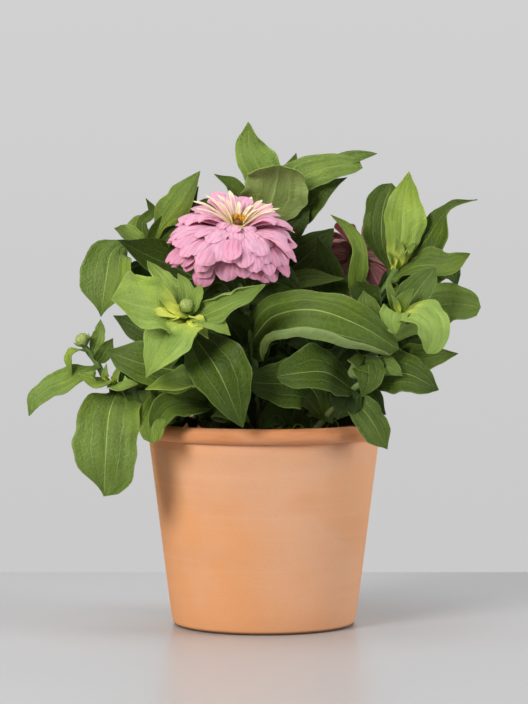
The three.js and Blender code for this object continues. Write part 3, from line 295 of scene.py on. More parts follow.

# Pairs of leaves deep in the plant, in the same columns as the pairs above. They get painted shade.
INNER_PAIRS = [
    ("crown", 0.17, 355, (40, 40), 14, 42, 95),
    ("crown", 0.28, 265, (34, 40), 15, 40, 95),
    ("crown", 0.42, 350, (44, 44), 15, 40, 90),
    ("crown", 0.55, 80, (44, 30), 15, 40, 90),
    ("crown", 0.7, 355, (40, 42), 14, 40, 85),
    ("crown", 0.85, 20, (32, 32), 12, 46, 80),
    ("flower", 0.38, 330, (34, 30), 13, 40, 90),
    ("flower", 0.75, 35, (36, 34), 13, 30, 70),
    ("left", 0.16, 330, (34, 28), 14, 42, 95),
    ("left", 0.34, 20, (36, 0), 14, 40, 90),
    ("left", 0.47, 320, (40, 38), 14, 40, 90),
    ("left", 0.75, 340, (38, 24), 12, 36, 85),
    ("bud", 0.22, 100, (34, 0), 13, 42, 95),
    ("bud", 0.68, 20, (36, 26), 12, 34, 80),
    ("side", 0.36, 100, (32, 16), 11, 36, 80),
    ("side", 0.5, 40, (30, 24), 10, 34, 80),
    ("high", 0.18, 190, (34, 30), 14, 44, 95),
    ("high", 0.3, 280, (32, 30), 14, 40, 95),
    ("high", 0.46, 200, (40, 34), 14, 38, 90),
    ("high", 0.64, 290, (32, 34), 12, 38, 85),
    ("high", 0.84, 180, (30, 26), 10, 40, 80),
    ("middle", 0.18, 80, (32, 20), 13, 42, 90),
    ("middle", 0.34, 160, (34, 34), 13, 40, 90),
    ("middle", 0.52, 75, (38, 24), 12, 38, 85),
    ("middle", 0.7, 150, (34, 28), 11, 36, 80),
    ("low", 0.3, 30, (30, 28), 12, 40, 90),
    ("faded", 0.26, 10, (32, 34), 14, 40, 95),
    ("faded", 0.56, 280, (34, 32), 13, 38, 90),
    ("faded", 0.82, 350, (26, 30), 11, 40, 80),
]

# Small leaves, most of them still unfolding at the tips of the shoots.
TIP_LEAVES = [
    leaf("side", 0.38, ((-58, -44, 136), (-41, -50, 142)), 12, 11, (-0.1, -0.95, 0.3), belly=0.5,
         tone=(0.05, 0.1, 0.15)),
    leaf("bud", 0.985, ((-51, -80, 191), (-59, -84, 197.5)), 3.6, 3.6, (0.2, -0.8, 0.6), wave=0.4,
         tone=(1.35, 0, 0)),
    leaf("bud", 0.975, ((-55, -84, 189.5), (-67, -93, 190)), 4.4, 4.4, (0.1, -0.7, 0.7), wave=0.6,
         tone=(1.35, 0, 0)),
    leaf("bud", 0.97, ((-38, -84, 183), (-31.5, -90, 175)), 4.6, 4.6, (0.1, -0.8, 0.6), wave=0.4,
         tone=(1.35, 0, 0)),
    leaf("bud", 0.985, ((-40, -74, 196), (-36, -70, 206)), 4.2, 4.2, (0, -0.9, 0.4), wave=0.4,
         tone=(0.8, 0.1, 0)),
    leaf("high", 0.99, ((81, -8, 225), (78, -11, 233)), 3, 3, (0, -0.9, 0.3), wave=0.2, tone=(1.15, 0, 0)),
    leaf("high", 0.99, ((86, -6, 224), (91, -9, 230)), 3, 3, (0, -0.9, 0.3), wave=0.2, tone=(1.15, 0, 0)),
    leaf("high", 0.99, ((83, -9, 221), (86, -14, 226)), 2.2, 2.2, (0.3, -0.6, 0.6), wave=0.1,
         tone=(1.15, 0, 0)),
    leaf("high", 0.985, ((77, -9, 219), (73, -13, 224)), 2.4, 2.4, (-0.3, -0.6, 0.6), wave=0.1,
         tone=(1.15, 0, 0)),
    leaf("bud", 0.97, ((-50, -82, 187), (-55, -88, 184)), 3.2, 3.2, (-0.2, -0.6, 0.7), wave=0.2,
         tone=(1.35, 0, 0)),
    leaf("bud", 0.97, ((-38, -80, 187), (-33, -85, 184)), 3.2, 3.2, (0.3, -0.6, 0.7), wave=0.2,
         tone=(1.35, 0, 0)),
    leaf("side", 0.72, ((-87, -44, 151), (-84, -47, 158)), 2.4, 2.4, (0.1, -0.8, 0.5), wave=0.1,
         tone=(1.15, 0, 0)),
    leaf("side", 0.75, ((-93, -46, 152), (-92, -48, 159)), 2.2, 2.2, (-0.1, -0.8, 0.5), wave=0.1,
         tone=(1.15, 0, 0)),
    leaf("middle", 0.985, ((77, -54, 194), (74, -58, 199)), 2, 2, (-0.2, -0.8, 0.5), wave=0.1,
         tone=(1.15, 0, 0)),
]

# Flower buds at the tip of a stem: centre, radius and the way the bud points.
BUDS = {
    "bud": SimpleNamespace(centre=(-44.5, -74, 193.5), radius=4.1, axis=(-0.05, -0.55, 0.83)),
    "side": SimpleNamespace(centre=(-106.3, -43.5, 172.5), radius=4.3, axis=(-0.55, -0.1, 0.83)),
}

NARROW = (0.7, 0.75, 0.85, 0.95, 1.0)  # widths of the narrow petals near a bloom's middle

# The open bloom, with its rings of petals from the outermost, lowest ring inwards. pink is how many of
# the rings are pink, left the share by which petals are longer on the left, core the radius of what they
# stand in, shoulder and top the heights of its two steps, and open the share of the disc's radius
# towards -Y that has florets.
MAIN_BLOOM = SimpleNamespace(
    centre=(-16, -44, 235), axis=(0.1, -0.3, 0.94), seed=3, core=8, shoulder=4, top=6, left=0.06,
    rings=(
        ring(13, 6.5, -4, (-6, -60), 37, 7, front=(0.64, 0.93)),
        ring(14, 6.5, -3.2, (0, -54), 38, 6.8, front=(0.7, 0.93)),
        ring(14, 6.5, -2.2, (8, -47), 37.5, 6.8, front=(0.86, 0.96)),
        ring(14, 6.5, -1.2, (15, -39), 36.5, 6.7, lean=1),
        ring(14, 6.3, -0.2, (22, -30), 35.5, 6.2, lean=3),
        ring(13, 6, 0.9, (29, -19), 33.5, 6, roll=-0.3, lean=6, front=(0.94, 0.4)),
        ring(12, 5.4, 2, (38, -6), 29, 5.6, roll=-0.2, lean=10, front=(0.86, 0.3)),
        ring(9, 4.8, 3, (48, 8), 23, 5, roll=-0.05, lean=14, front=(0.76, 0.3)),
        ring(8, 3.8, 3.9, (46, -46), 15.5, 4.6, roll=-0.25, faces=(0.1, 1)),
        ring(15, 3.8, 4.8, (42, 21), 24, 1.45, widths=NARROW, roll=0.8,
             faces=(-1, 0.45), lean=3),
        ring(10, 3, 5.4, (62, 44), 14, 1.2, widths=NARROW, roll=0.8,
             faces=(-1, 0.4)),
    ),
    pink=9, disc=SimpleNamespace(radius=3.2, height=5.5, florets=22, open=0.3),
)

# The bloom that is past its best and looks away to the back.
FADED_BLOOM = SimpleNamespace(
    centre=(58.5, 31, 222), axis=(0.25, 0.8, 0.55), seed=5, core=6, shoulder=3, top=3, left=0,
    rings=(
        ring(10, 5, -3, (-6, -50), 25, 5),
        ring(10, 5, -1.5, (10, -30), 25, 5),
        ring(9, 4.5, 0, (26, -8), 22, 4.6),
        ring(7, 4, 2, (44, 20), 16, 3.4),
    ),
    pink=4, disc=SimpleNamespace(radius=2.6, height=5, florets=10, open=2),
)

CURVE_STEPS = 24  # points of a smooth line between two that it passes through
CHORD = 0.005  # a line's direction is taken over this share of its length to each side
ROOTING = 1.2  # a leaf's midrib starts this far from the middle of its stem
CLASP = 0.02  # how far into its width curve a leaf starts, where it clasps the stem
CLASP_SHARE = 0.26  # the share of its width that a leaf has where it clasps the stem
PAIR_SPREAD = 0.55  # the shorter leaf of a pair keeps at least this share of the width
TURN_UP, TURN_ROUND = 0.68, 0.14  # where a curled half starts to roll up, and how far it takes
SIDE_VEIN = 0.48  # how far out the long side veins run, as a share of the half width
BROAD = 13  # a leaf at least this wide on one side has its full relief
TWIST = 0.22  # radians that a leaf twists at most towards its tip
TIP_FROM = 0.78  # where a leaf starts to draw in to its point, and a petal to its round end
STEM_RINGS = 90  # places along a stem where its thickness is set
JOINT_SWELL, JOINT_REACH, THICKEST = 0.07, 0.014, 1.25  # a stem's swelling where a leaf joins it
HAIR_RADIUS = 0.055
SOIL_RINGS = 44  # rings of faces on top of the soil
PALE_EVERY = 31  # one crumb of soil in this many is pale
FRONT_DROP = 12  # degrees that the shortened petals in front hang lower
PETAL_DRIFT, PETAL_TILT, PETAL_STRETCH = 0.24, 7, 0.08  # how unevenly petals are set in their ring
RING_TURN = 0.5  # each ring is turned this much further than half a spacing
CORE_DEPTH = 0.65  # the core goes this share of its radius below the bloom's centre
CUP_DEPTH = 11  # how far the scaly cup reaches below the core
CORE_SIDES, CUP_SIDES = 20, 24  # faces round what the petals stand in and round a cup
GOLDEN_TURN = 2.4  # radians from one floret to the next
LOBE_TUCK = 0.55  # how far in the notches between a floret's lobes are


# ---- Sizes and colours that a user would change ----


def length(name, description, default):
    """A size in metres."""
    return bpy.props.FloatProperty(name=name, description=description, default=default, min=0.0,
                                   subtype="DISTANCE", unit="LENGTH", precision=4)


def colour(name, description, default):
    """A colour, as linear red, green and blue."""
    return bpy.props.FloatVectorProperty(name=name, description=description, default=default, size=3,
                                         min=0.0, max=1.0, subtype="COLOR")


def power(name, description, default):
    """A lamp's power in watts."""
    return bpy.props.FloatProperty(name=name, description=description, default=default, min=0.0,
                                   subtype="POWER", unit="POWER")


def count(name, description, default):
    """A whole number of things."""
    return bpy.props.IntProperty(name=name, description=description, default=default, min=1)


class PotSettings(bpy.types.PropertyGroup):
    """Sizes and clay of the pot"""

    height: length("Height", "From the foot to the top of the rim", 0.122)
    foot_radius: length("Foot Radius", "Outside radius at the foot", 0.055)
    neck_radius: length("Neck Radius", "Outside radius of the wall just under the rim", 0.0693)
    rim_radius: length("Rim Radius", "Outside radius of the rolled rim", 0.075)
    rim_roll: length("Rim Roll", "Height of the rolled rim", 0.009)
    wall: length("Wall", "Thickness of the wall", 0.006)
    floor: length("Floor", "Thickness of the floor", 0.008)
    drain_radius: length("Drain Radius", "Radius of a drain hole", 0.0045)
    drain_circle: length("Drain Circle", "How far the drain holes stand from the centre", 0.026)
    sides: count("Sides", "Faces round the pot", 96)
    clay: colour("Clay", "Colour of the fired clay", (0.76, 0.355, 0.160))
    pale_clay: colour("Pale Clay", "Colour of the drier, paler patches", (0.74, 0.415, 0.255))
    # The rim colour is partly painted shade, from the leaves over the rim.
    rim: colour("Rim", "Colour of the rim, fired harder", (0.62, 0.245, 0.100))


class SoilSettings(bpy.types.PropertyGroup):
    """Size and colour of the potting soil"""

    top: length("Top", "Height of the soil in the pot", 0.108)
    lump: length("Lump", "Height of the soil's lumps", 0.0016)
    crumbs: count("Crumbs", "Loose crumbs on the surface", 900)
    crumb: length("Crumb", "Radius of a usual crumb", 0.0013)
    dark: colour("Dark", "Colour of the damp soil", (0.018, 0.011, 0.007))
    dry: colour("Dry", "Colour of the drier crumbs", (0.075, 0.046, 0.028))


class LeafSettings(bpy.types.PropertyGroup):
    """Thickness and colours of the leaves"""

    thickness: length("Thickness", "Thickness of a leaf", 0.00055)
    along: count("Cells Along", "Faces from a leaf's base to its tip", 26)
    across: count("Cells Across", "Faces from margin to margin", 18)
    mature: colour("Mature", "Colour of an old leaf", (0.047, 0.082, 0.0055))
    young: colour("Young", "Colour of a young leaf", (0.27, 0.39, 0.082))
    # The root colour is partly painted light: brighter than the leaf's own, against the shade of the
    # bracts.
    root: colour("Root", "Colour of a young leaf at its base", (0.86, 0.92, 0.17))
    cool: colour("Cool", "Colour of a bluish leaf", (0.050, 0.094, 0.014))
    under: colour("Underside", "Colour of a leaf's underside", (0.19, 0.25, 0.085))
    vein: colour("Vein", "Colour of the veins", (0.42, 0.53, 0.16))


class StemSettings(bpy.types.PropertyGroup):
    """Shape and colours of the stems"""

    sides: count("Sides", "Faces round a stem", 12)
    hairs: count("Hairs", "Hairs on each stem", 170)
    hair: length("Hair", "Length of a hair", 0.0012)
    green: colour("Green", "Colour of a stem", (0.15, 0.24, 0.06))
    tinge: colour("Tinge", "Colour near the root", (0.16, 0.10, 0.05))
    bract: colour("Bract", "Colour of a bud's scales", (0.36, 0.45, 0.10))


class BloomSettings(bpy.types.PropertyGroup):
    """Thickness and colours of the petals and florets"""

    thickness: length("Thickness", "Thickness of a petal", 0.0005)
    along: count("Cells Along", "Faces from a petal's root to its tip", 20)
    across: count("Cells Across", "Faces from edge to edge", 12)
    pink: colour("Pink", "Colour of a petal", (0.73, 0.24, 0.375))
    pale: colour("Pale", "Colour of a petal's margin and ridges", (0.83, 0.43, 0.56))
    mauve: colour("Mauve", "Colour of a petal in the shade of others", (0.54, 0.12, 0.235))
    cream: colour("Cream", "Colour of the narrow inner petals", (0.93, 0.76, 0.40))
    gold: colour("Gold", "Colour of the open florets", (0.84, 0.40, 0.02))
    eye: colour("Eye", "Colour of the disc between the florets", (0.13, 0.05, 0.015))
    faded: colour("Faded", "Colour of the old petals", (0.42, 0.17, 0.19))
    dried: colour("Dried", "Colour of the old petals' dry margins", (0.56, 0.34, 0.30))


class StageSettings(bpy.types.PropertyGroup):
    """Table, wall, lights and camera"""

    lens: bpy.props.FloatProperty(name="Lens", description="Focal length", default=146.5, min=1.0,
                                  subtype="DISTANCE_CAMERA", unit="CAMERA")
    distance: length("Distance", "From the pot's axis to the camera", 1.719)
    eye_level: length("Eye Level", "Height of the camera above the table", 0.2374)
    pitch: bpy.props.FloatProperty(name="Pitch", description="How far the camera looks down",
                                   default=math.radians(2.456), subtype="ANGLE", unit="ROTATION")
    table_edge: length("Table Edge", "From the pot's axis back to the table's edge", 0.26)
    wall_back: length("Wall", "From the pot's axis back to the wall", 3.4)
    table: colour("Table", "Colour of the table", (0.52, 0.52, 0.53))
    wall_tone: colour("Wall Tone", "Colour of the wall", (0.638, 0.638, 0.638))
    key_power: power("Key", "Power of the soft key light", 37.5)
    fill_power: power("Fill", "Power of the fill light", 15.0)
    top_power: power("Top", "Power of the light overhead", 8.0)


# ---- Shader nodes ----


class Graph:
    """A node tree that is being filled, with short ways to add its usual nodes."""

    def __init__(self, tree):
        self.tree = tree

    def add(self, kind, inputs=(), **settings):
        """A node with its settings, each input given as a value or as a socket to link."""
        node = self.tree.nodes.new(kind)
        for key, value in settings.items():
            setattr(node, key, value)
        self.feed(node.inputs, dict(inputs))
        return node

    def feed(self, sockets, values):
        """Links or sets each socket that is given something."""
        for key, value in values.items():
            socket = sockets[key]
            if isinstance(value, bpy.types.NodeSocket):
                self.tree.links.new(value, socket)
            elif socket.type == "RGBA":
                socket.default_value = (*value, 1.0)
            else:
                socket.default_value = value

    def calc(self, operation, *values, clamp=False):
        """A Math node."""
        node = self.add("ShaderNodeMath", enumerate(values), operation=operation, use_clamp=clamp)
        return node.outputs[0]

    def times(self, value, factor, plus=None, clamp=False):
        """A value times a factor, and more if plus is given."""
        if plus is None:
            return self.calc("MULTIPLY", value, factor, clamp=clamp)
        return self.calc("MULTIPLY_ADD", value, factor, plus, clamp=clamp)

    def off(self, value, middle):
        """How far a value is from a middle."""
        return self.calc("ABSOLUTE", self.calc("SUBTRACT", value, middle))

    def span(self, value, low, high, start=0.0, end=1.0, smooth=True):
        """start below low, end above high and a slope between."""
        kind = "SMOOTHSTEP" if smooth else "LINEAR"
        inputs = {"Value": value, "From Min": low, "From Max": high, "To Min": start, "To Max": end}
        return self.add("ShaderNodeMapRange", inputs, interpolation_type=kind).outputs[0]

    def over(self, base, *layers):
        """A colour with others laid over it, each given as how much of it, the colour and, where it isn't
        a plain mix, the blend."""
        for factor, colour, *blend in layers:
            node = self.add("ShaderNodeMix", data_type="RGBA", blend_type=(*blend, "MIX")[0],
                            clamp_factor=True)
            self.feed(node.inputs, {0: factor, 6: base, 7: colour})
            base = node.outputs[2]
        return base

    def grain(self, vector, scale, detail, roughness=0.55):
        """Noise from 0 to 1."""
        inputs = {"Vector": vector, "Scale": scale, "Detail": detail, "Roughness": roughness}
        return self.add("ShaderNodeTexNoise", inputs).outputs["Fac"]

    def split(self, vector):
        """The three parts of a vector."""
        return self.add("ShaderNodeSeparateXYZ", {"Vector": vector}).outputs

    def join(self, x, y):
        """A vector on the plane."""
        return self.add("ShaderNodeCombineXYZ", {"X": x, "Y": y}).outputs[0]

    def stretch(self, vector, *factors):
        """A vector with each of its three parts multiplied."""
        return self.add("ShaderNodeVectorMath", {0: vector, 1: factors}, operation="MULTIPLY").outputs[0]

    def group(self, name, inputs):
        """A shared node group with its inputs given."""
        return self.add("ShaderNodeGroup", inputs, node_tree=bpy.data.node_groups[name]).outputs


def new_group(name, inputs, outputs):
    """An empty shader node group with named sockets: (graph, its inputs, its output node's sockets)."""
    tree = bpy.data.node_groups.new(name, "ShaderNodeTree")
    tree.interface.new_socket("Vector", in_out="INPUT", socket_type="NodeSocketVector")
    for key, default in inputs.items():
        socket = tree.interface.new_socket(key, in_out="INPUT", socket_type="NodeSocketFloat")
        socket.default_value = default
    for key in outputs:
        tree.interface.new_socket(key, in_out="OUTPUT", socket_type="NodeSocketFloat")
    return Graph(tree), tree.nodes.new("NodeGroupInput").outputs, tree.nodes.new("NodeGroupOutput").inputs


def make_leaf_veins():
    """Veins of a leaf on its own map: u runs from margin to margin and v from base to tip."""
    graph, given, out = new_group("Leaf Veins", {"Midrib": 0.05, "Side": 0.03, "Fine Count": 13.0},
                                  ("Midrib", "Side Veins", "Fine Veins", "Height"))
    u, v, _ = graph.split(given["Vector"])
    drift = graph.times(graph.calc("SUBTRACT", graph.grain(given["Vector"], 5.0, 2.0), 0.5), 0.10)
    across = graph.times(u, 2.0, -1.0)
    away = graph.calc("ABSOLUTE", across)
    # The midrib narrows towards the tip.
    rib_width = graph.times(given["Midrib"], graph.span(v, 0.0, 1.0, 1.7, 0.55, smooth=False))
    midrib = graph.span(graph.calc("DIVIDE", away, rib_width), 0.35, 1.0, 1.0, 0.0)
    # A long side vein runs up each half and fades out before the tip.
    course = graph.span(v, 0.0, 0.9, SIDE_VEIN + 0.08, SIDE_VEIN - 0.1, smooth=False)
    off_side = graph.off(away, graph.calc("ADD", course, drift))
    side_line = graph.span(graph.calc("DIVIDE", off_side, given["Side"]), 0.3, 1.0, 1.0, 0.0)
    side = graph.times(side_line, graph.span(v, 0.72, 0.92, 1.0, 0.0))
    # Fine veins arch forwards from the midrib to the margin, with a net between them.
    forward = graph.times(graph.calc("POWER", away, 1.4), 0.2)
    climb = graph.calc("ADD", graph.calc("SUBTRACT", v, forward), graph.times(drift, 0.35))
    offset = graph.span(across, -0.01, 0.01, 0.0, 0.42)
    step = graph.calc("FRACT", graph.times(climb, given["Fine Count"], offset))
    fine = graph.span(graph.off(step, 0.5), 0.0, 0.085, 1.0, 0.0)
    net = graph.add("ShaderNodeTexVoronoi", {"Vector": graph.stretch(given["Vector"], 13.0, 22.0, 0.0),
                                             "Scale": 1.0, "Randomness": 0.9},
                    feature="DISTANCE_TO_EDGE").outputs["Distance"]
    mesh = graph.span(net, 0.0, 0.16, 1.0, 0.0)
    veins = graph.calc("MAXIMUM", graph.times(fine, 0.75), graph.times(mesh, 0.5))
    depth = graph.calc("MAXIMUM", graph.calc("MAXIMUM", midrib, graph.times(side, 0.8)), veins)
    # The blade swells a little in each mesh of the net.
    swell = graph.times(graph.span(net, 0.0, 0.45), 0.7, 1.0)
    graph.feed(out, {"Midrib": midrib, "Side Veins": side, "Fine Veins": veins,
                     "Height": graph.calc("SUBTRACT", swell, depth)})


def make_petal_lines():
    """Fine lengthwise lines of a petal on its own map."""
    graph, given, out = new_group("Petal Lines", {"Count": 11.0, "Margin": 0.25},
                                  ("Lines", "Margin", "Height"))
    u, v, _ = graph.split(given["Vector"])
    across = graph.times(graph.calc("SUBTRACT", u, 0.5),
                         graph.times(graph.calc("SUBTRACT", v, 0.5), -0.25, 1.0))
    place = graph.join(graph.times(across, given["Count"]), graph.times(v, 1.1))
    waves = graph.grain(place, 2.4, 3.0, 0.6)
    edge = graph.calc("MAXIMUM", graph.calc("ABSOLUTE", graph.times(u, 2.0, -1.0)), v)
    margin = graph.span(edge, graph.calc("SUBTRACT", 1.0, given["Margin"]), 1.0)
    graph.feed(out, {"Lines": graph.span(waves, 0.42, 0.66), "Margin": margin, "Height": waves})


def make_mottle():
    """Patches and speckles at two sizes, for anything that isn't of one even tone."""
    graph, given, out = new_group("Mottle", {"Patch Scale": 30.0, "Speck Scale": 600.0},
                                  ("Patches", "Specks", "Height"))
    patches = graph.grain(given["Vector"], given["Patch Scale"], 3.0)
    specks = graph.grain(given["Vector"], given["Speck Scale"], 2.0, 0.7)
    graph.feed(out, {"Patches": graph.span(patches, 0.35, 0.65), "Specks": graph.span(specks, 0.55, 0.75),
                     "Height": specks})


def new_material(name, roughness, specular):
    """A material with a Principled shader: (graph, shader)."""
    material = bpy.data.materials.new(name)
    material.use_nodes = True
    graph, shader = Graph(material.node_tree), material.node_tree.nodes["Principled BSDF"]
    graph.feed(shader.inputs, {"Roughness": roughness, "Specular IOR Level": specular})
    return graph, shader


def finish_material(graph, shader, base, height, distance, strength=1.0):
    """Feeds the shader its colour and its relief."""
    bump = graph.add("ShaderNodeBump", {"Height": height, "Distance": distance, "Strength": strength})
    graph.feed(shader.inputs, {"Base Color": base, "Normal": bump.outputs["Normal"]})


def object_place(graph):
    """Object coordinates, in metres."""
    return graph.add("ShaderNodeTexCoord").outputs["Object"]


def mottled(graph, patches, specks):
    """The mottle's masks, with its patches and specks at these scales."""
    return graph.group("Mottle", {"Vector": object_place(graph), "Patch Scale": patches,
                                  "Speck Scale": specks})


def own_map(graph):
    """The blade's own map."""
    return graph.add("ShaderNodeUVMap", uv_map="blade").outputs["UV"]


def tone_of(graph):
    """The three tones that each blade carries."""
    attribute = graph.add("ShaderNodeAttribute", attribute_name="tone", attribute_type="GEOMETRY")
    return graph.add("ShaderNodeSeparateColor", {"Color": attribute.outputs["Color"]}).outputs


def make_terracotta(pot):
    """Fired clay with turning lines, pale patches and fine specks, and painted shade on the rim and at the
    foot.
    """
    graph, shader = new_material("fired_clay", roughness=0.86, specular=0.12)
    mottle = mottled(graph, patches=20.0, specks=900.0)
    place = object_place(graph)
    x, _, z = graph.split(place)
    turning = graph.grain(graph.stretch(place, 6.0, 6.0, 420.0), 1.0, 4.0, 0.6)
    bands = graph.grain(graph.stretch(place, 9.0, 9.0, 45.0), 1.0, 2.0)
    rim_blotch_noise = graph.grain(graph.stretch(place, 28.0, 28.0, 160.0), 1.0, 3.0)
    # One side (towards +X) and the top have more of the pale, pinker clay.
    cooler = graph.span(graph.times(z, 0.7, x), -0.03, 0.10, 0.0, 0.75)
    patches = graph.times(graph.calc("SUBTRACT", mottle["Patches"], 0.5), 0.5, cooler, clamp=True)
    neck = pot.height - pot.rim_roll
    rim = graph.span(z, neck - 0.2 * MM, neck + 1.5 * MM)
    base = graph.over(
        pot.clay, (patches, pot.pale_clay),
        (graph.span(bands, 0.42, 0.68, 0.0, 0.22), (0.60, 0.28, 0.13)),
        (graph.span(turning, 0.55, 0.75, 0.0, 0.13), (0.82, 0.50, 0.34)),
        (graph.times(mottle["Specks"], 0.25), (0.55, 0.24, 0.12)),
        # The rolled rim is a deeper orange-brown in blotches and smudges: partly its own colour, partly
        # painted shade from the leaves over it.
        (graph.times(rim, graph.span(rim_blotch_noise, 0.3, 0.6, 0.55, 1.0)), pot.rim),
        (graph.times(rim, graph.span(rim_blotch_noise, 0.52, 0.75, 0.0, 0.55)), (0.34, 0.12, 0.05)),
        # Painted contact shadow: the clay darkens towards the foot, where it meets the table.
        (graph.span(z, 0.8 * MM, 2.6 * MM, 0.85, 0.0), (0.11, 0.045, 0.02)))
    height = graph.times(turning, 0.7, graph.times(mottle["Height"], 0.5))
    finish_material(graph, shader, base, height, distance=0.22 * MM, strength=0.6)


def make_soil(soil):
    """Dark crumbly soil."""
    graph, shader = new_material("crumbly_soil", roughness=0.95, specular=0.15)
    mottle = mottled(graph, patches=90.0, specks=700.0)
    base = graph.over(soil.dark, (mottle["Patches"], soil.dry),
                      (graph.times(mottle["Specks"], 0.5), (0.14, 0.085, 0.045)))
    finish_material(graph, shader, base, mottle["Height"], distance=1.2 * MM)


def make_leaf(leaves, upper):
    """One face of a leaf: its tone, its veins and its fine nap, with painted shade and highlights."""
    name, specular, midrib, side = ("leaf_upper", 0.16, 0.026, 0.018) if upper \
        else ("leaf_underside", 0.11, 0.05, 0.03)
    graph, shader = new_material(name, roughness=0.5, specular=specular)
    blade = own_map(graph)
    young, cool, dark = tone_of(graph)
    u, v, _ = graph.split(blade)
    veins = graph.group("Leaf Veins", {"Vector": blade, "Midrib": midrib, "Side": side, "Fine Count": 19.0})
    mottle = mottled(graph, patches=42.0, specks=1500.0)
    height = graph.times(mottle["Height"], 0.15, veins["Height"])
    if upper:
        # A young leaf is palest at its base, in a root colour made brighter than its own as painted light,
        # against the shade of the bracts over the young leaves.
        near = graph.times(young, -1.5, graph.calc("ADD", v, 1.5))
        root = graph.times(graph.span(near, 0.04, 0.46, 1.0, 0.0), graph.span(young, 0.45, 1.0))
        base = graph.over(leaves.mature, (cool, leaves.cool), (young, leaves.young), (root, leaves.root))
        graph.feed(shader.inputs, {"Roughness": graph.span(mottle["Height"], 0.2, 0.8, 0.38, 0.56)})
    else:
        base = graph.over(leaves.under, (cool, (0.17, 0.28, 0.14)),
                          (graph.times(young, 0.6), (0.36, 0.47, 0.12)))
        height = graph.times(height, -1.0)
    streaks_and_pleat_shade = graph.grain(graph.stretch(blade, 6.5, 1.3, 0.0), 1.0, 2.0)
    warm = graph.grain(object_place(graph), 26.0, 3.0)
    edge = graph.calc("ABSOLUTE", graph.times(u, 2.0, -1.0))
    base = graph.over(
        base,
        # Broad soft bands run along the blade, lighter and darker: partly the leaf's own colour, partly
        # painted highlight and shade of its pleats.
        (0.4, graph.span(streaks_and_pleat_shade, 0.3, 0.7, 0.14, 0.86), "SOFT_LIGHT"),
        (graph.times(mottle["Patches"], 0.42), (0.60, 0.68, 0.42), "MULTIPLY"),
        (graph.span(warm, 0.45, 0.72, 0.0, 0.45), (1.0, 0.93, 0.35), "SOFT_LIGHT"),
        (graph.times(mottle["Specks"], 0.10), leaves.vein),
        (graph.times(veins["Fine Veins"], 0.085), leaves.vein),
        (graph.times(veins["Side Veins"], 0.3), leaves.vein),
        (graph.times(veins["Midrib"], 0.62), leaves.vein),
        # A pale rim along the margin: partly the leaf's own paler edge, partly painted highlight where the
        # edges turn.
        (graph.span(edge, 0.93, 1.0, 0.0, 0.2), leaves.vein),
        # Painted shade: the third tone darkens leaves that lie deep or low in the plant.
        (graph.times(dark, 1.2, clamp=True), (0.012, 0.027, 0.004)))
    finish_material(graph, shader, base, height, distance=0.28 * MM, strength=0.7)


def make_green(name, skin, tinge):
    """Skin of a stem or scale: green, with a tinge that fades with height above the soil."""
    graph, shader = new_material(name, roughness=0.55, specular=0.35)
    mottle = mottled(graph, patches=70.0, specks=1400.0)
    _, _, z = graph.split(object_place(graph))
    base = graph.over(
        skin, (graph.span(z, 105 * MM, 160 * MM, 0.75, 0.0), tinge),
        (graph.times(mottle["Patches"], 0.25), (0.5, 0.6, 0.4), "MULTIPLY"),
        (graph.times(mottle["Specks"], 0.15), (0.5, 0.6, 0.35)))
    finish_material(graph, shader, base, mottle["Height"], distance=0.2 * MM)


def make_bract(stems):
    """Scale of a bud or cup: pale green with a thin brown margin."""
    graph, shader = new_material("bract", roughness=0.55, specular=0.35)
    lines = graph.group("Petal Lines", {"Vector": own_map(graph), "Count": 7.0, "Margin": 0.3})
    young, _, dark = tone_of(graph)
    base = graph.over((0.14, 0.24, 0.06), (young, stems.bract),
                      (graph.times(lines["Lines"], 0.35), (0.55, 0.64, 0.32)),
                      (graph.times(lines["Margin"], dark), (0.10, 0.05, 0.02)))
    finish_material(graph, shader, base, lines["Height"], distance=0.2 * MM)


def make_petal(name, body, pale, deep, roots, roughness):
    """A petal: pale lines and a margin that is partly painted highlight, a deeper tone by its place in the
    bloom (on the pink petals, painted shade on the outer rings under the others), and its root's colour.
    """
    graph, shader = new_material(name, roughness, specular=0.25)
    blade = own_map(graph)
    _, v, _ = graph.split(blade)
    lines = graph.group("Petal Lines", {"Vector": blade, "Count": 3.6, "Margin": 0.36})
    mottle = mottled(graph, patches=120.0, specks=1600.0)
    light, depth, root = tone_of(graph)
    base = graph.over(
        body, (light, pale), (depth, deep),
        # A paler margin: partly the petal's own colour, partly painted highlight where the rims catch the
        # light.
        (graph.times(lines["Margin"], 0.4), pale),
        (graph.times(lines["Lines"], 0.42), deep),
        (graph.times(mottle["Patches"], 0.15), (0.8, 0.62, 0.72), "MULTIPLY"),
        (graph.times(graph.span(v, 0.05, 0.45, 1.0, 0.0), root), roots))
    # A petal is thin enough for light to come through it.
    graph.feed(shader.inputs, {"Subsurface Weight": 0.3, "Subsurface Radius": (1.0, 0.35, 0.5),
                               "Subsurface Scale": 2.5 * MM})
    height = graph.times(mottle["Height"], 0.25, lines["Height"])
    finish_material(graph, shader, base, height, distance=0.5 * MM, strength=0.7)


def make_floret(name, body, deep):
    """A floret of the disc."""
    graph, shader = new_material(name, roughness=0.6, specular=0.3)
    mottle = mottled(graph, patches=500.0, specks=2500.0)
    base = graph.over(body, (graph.times(mottle["Patches"], 0.6), deep))
    finish_material(graph, shader, base, mottle["Height"], distance=0.2 * MM)


def shade(colour, factor):
    """A colour made darker or lighter."""
    return tuple(factor * part for part in colour)


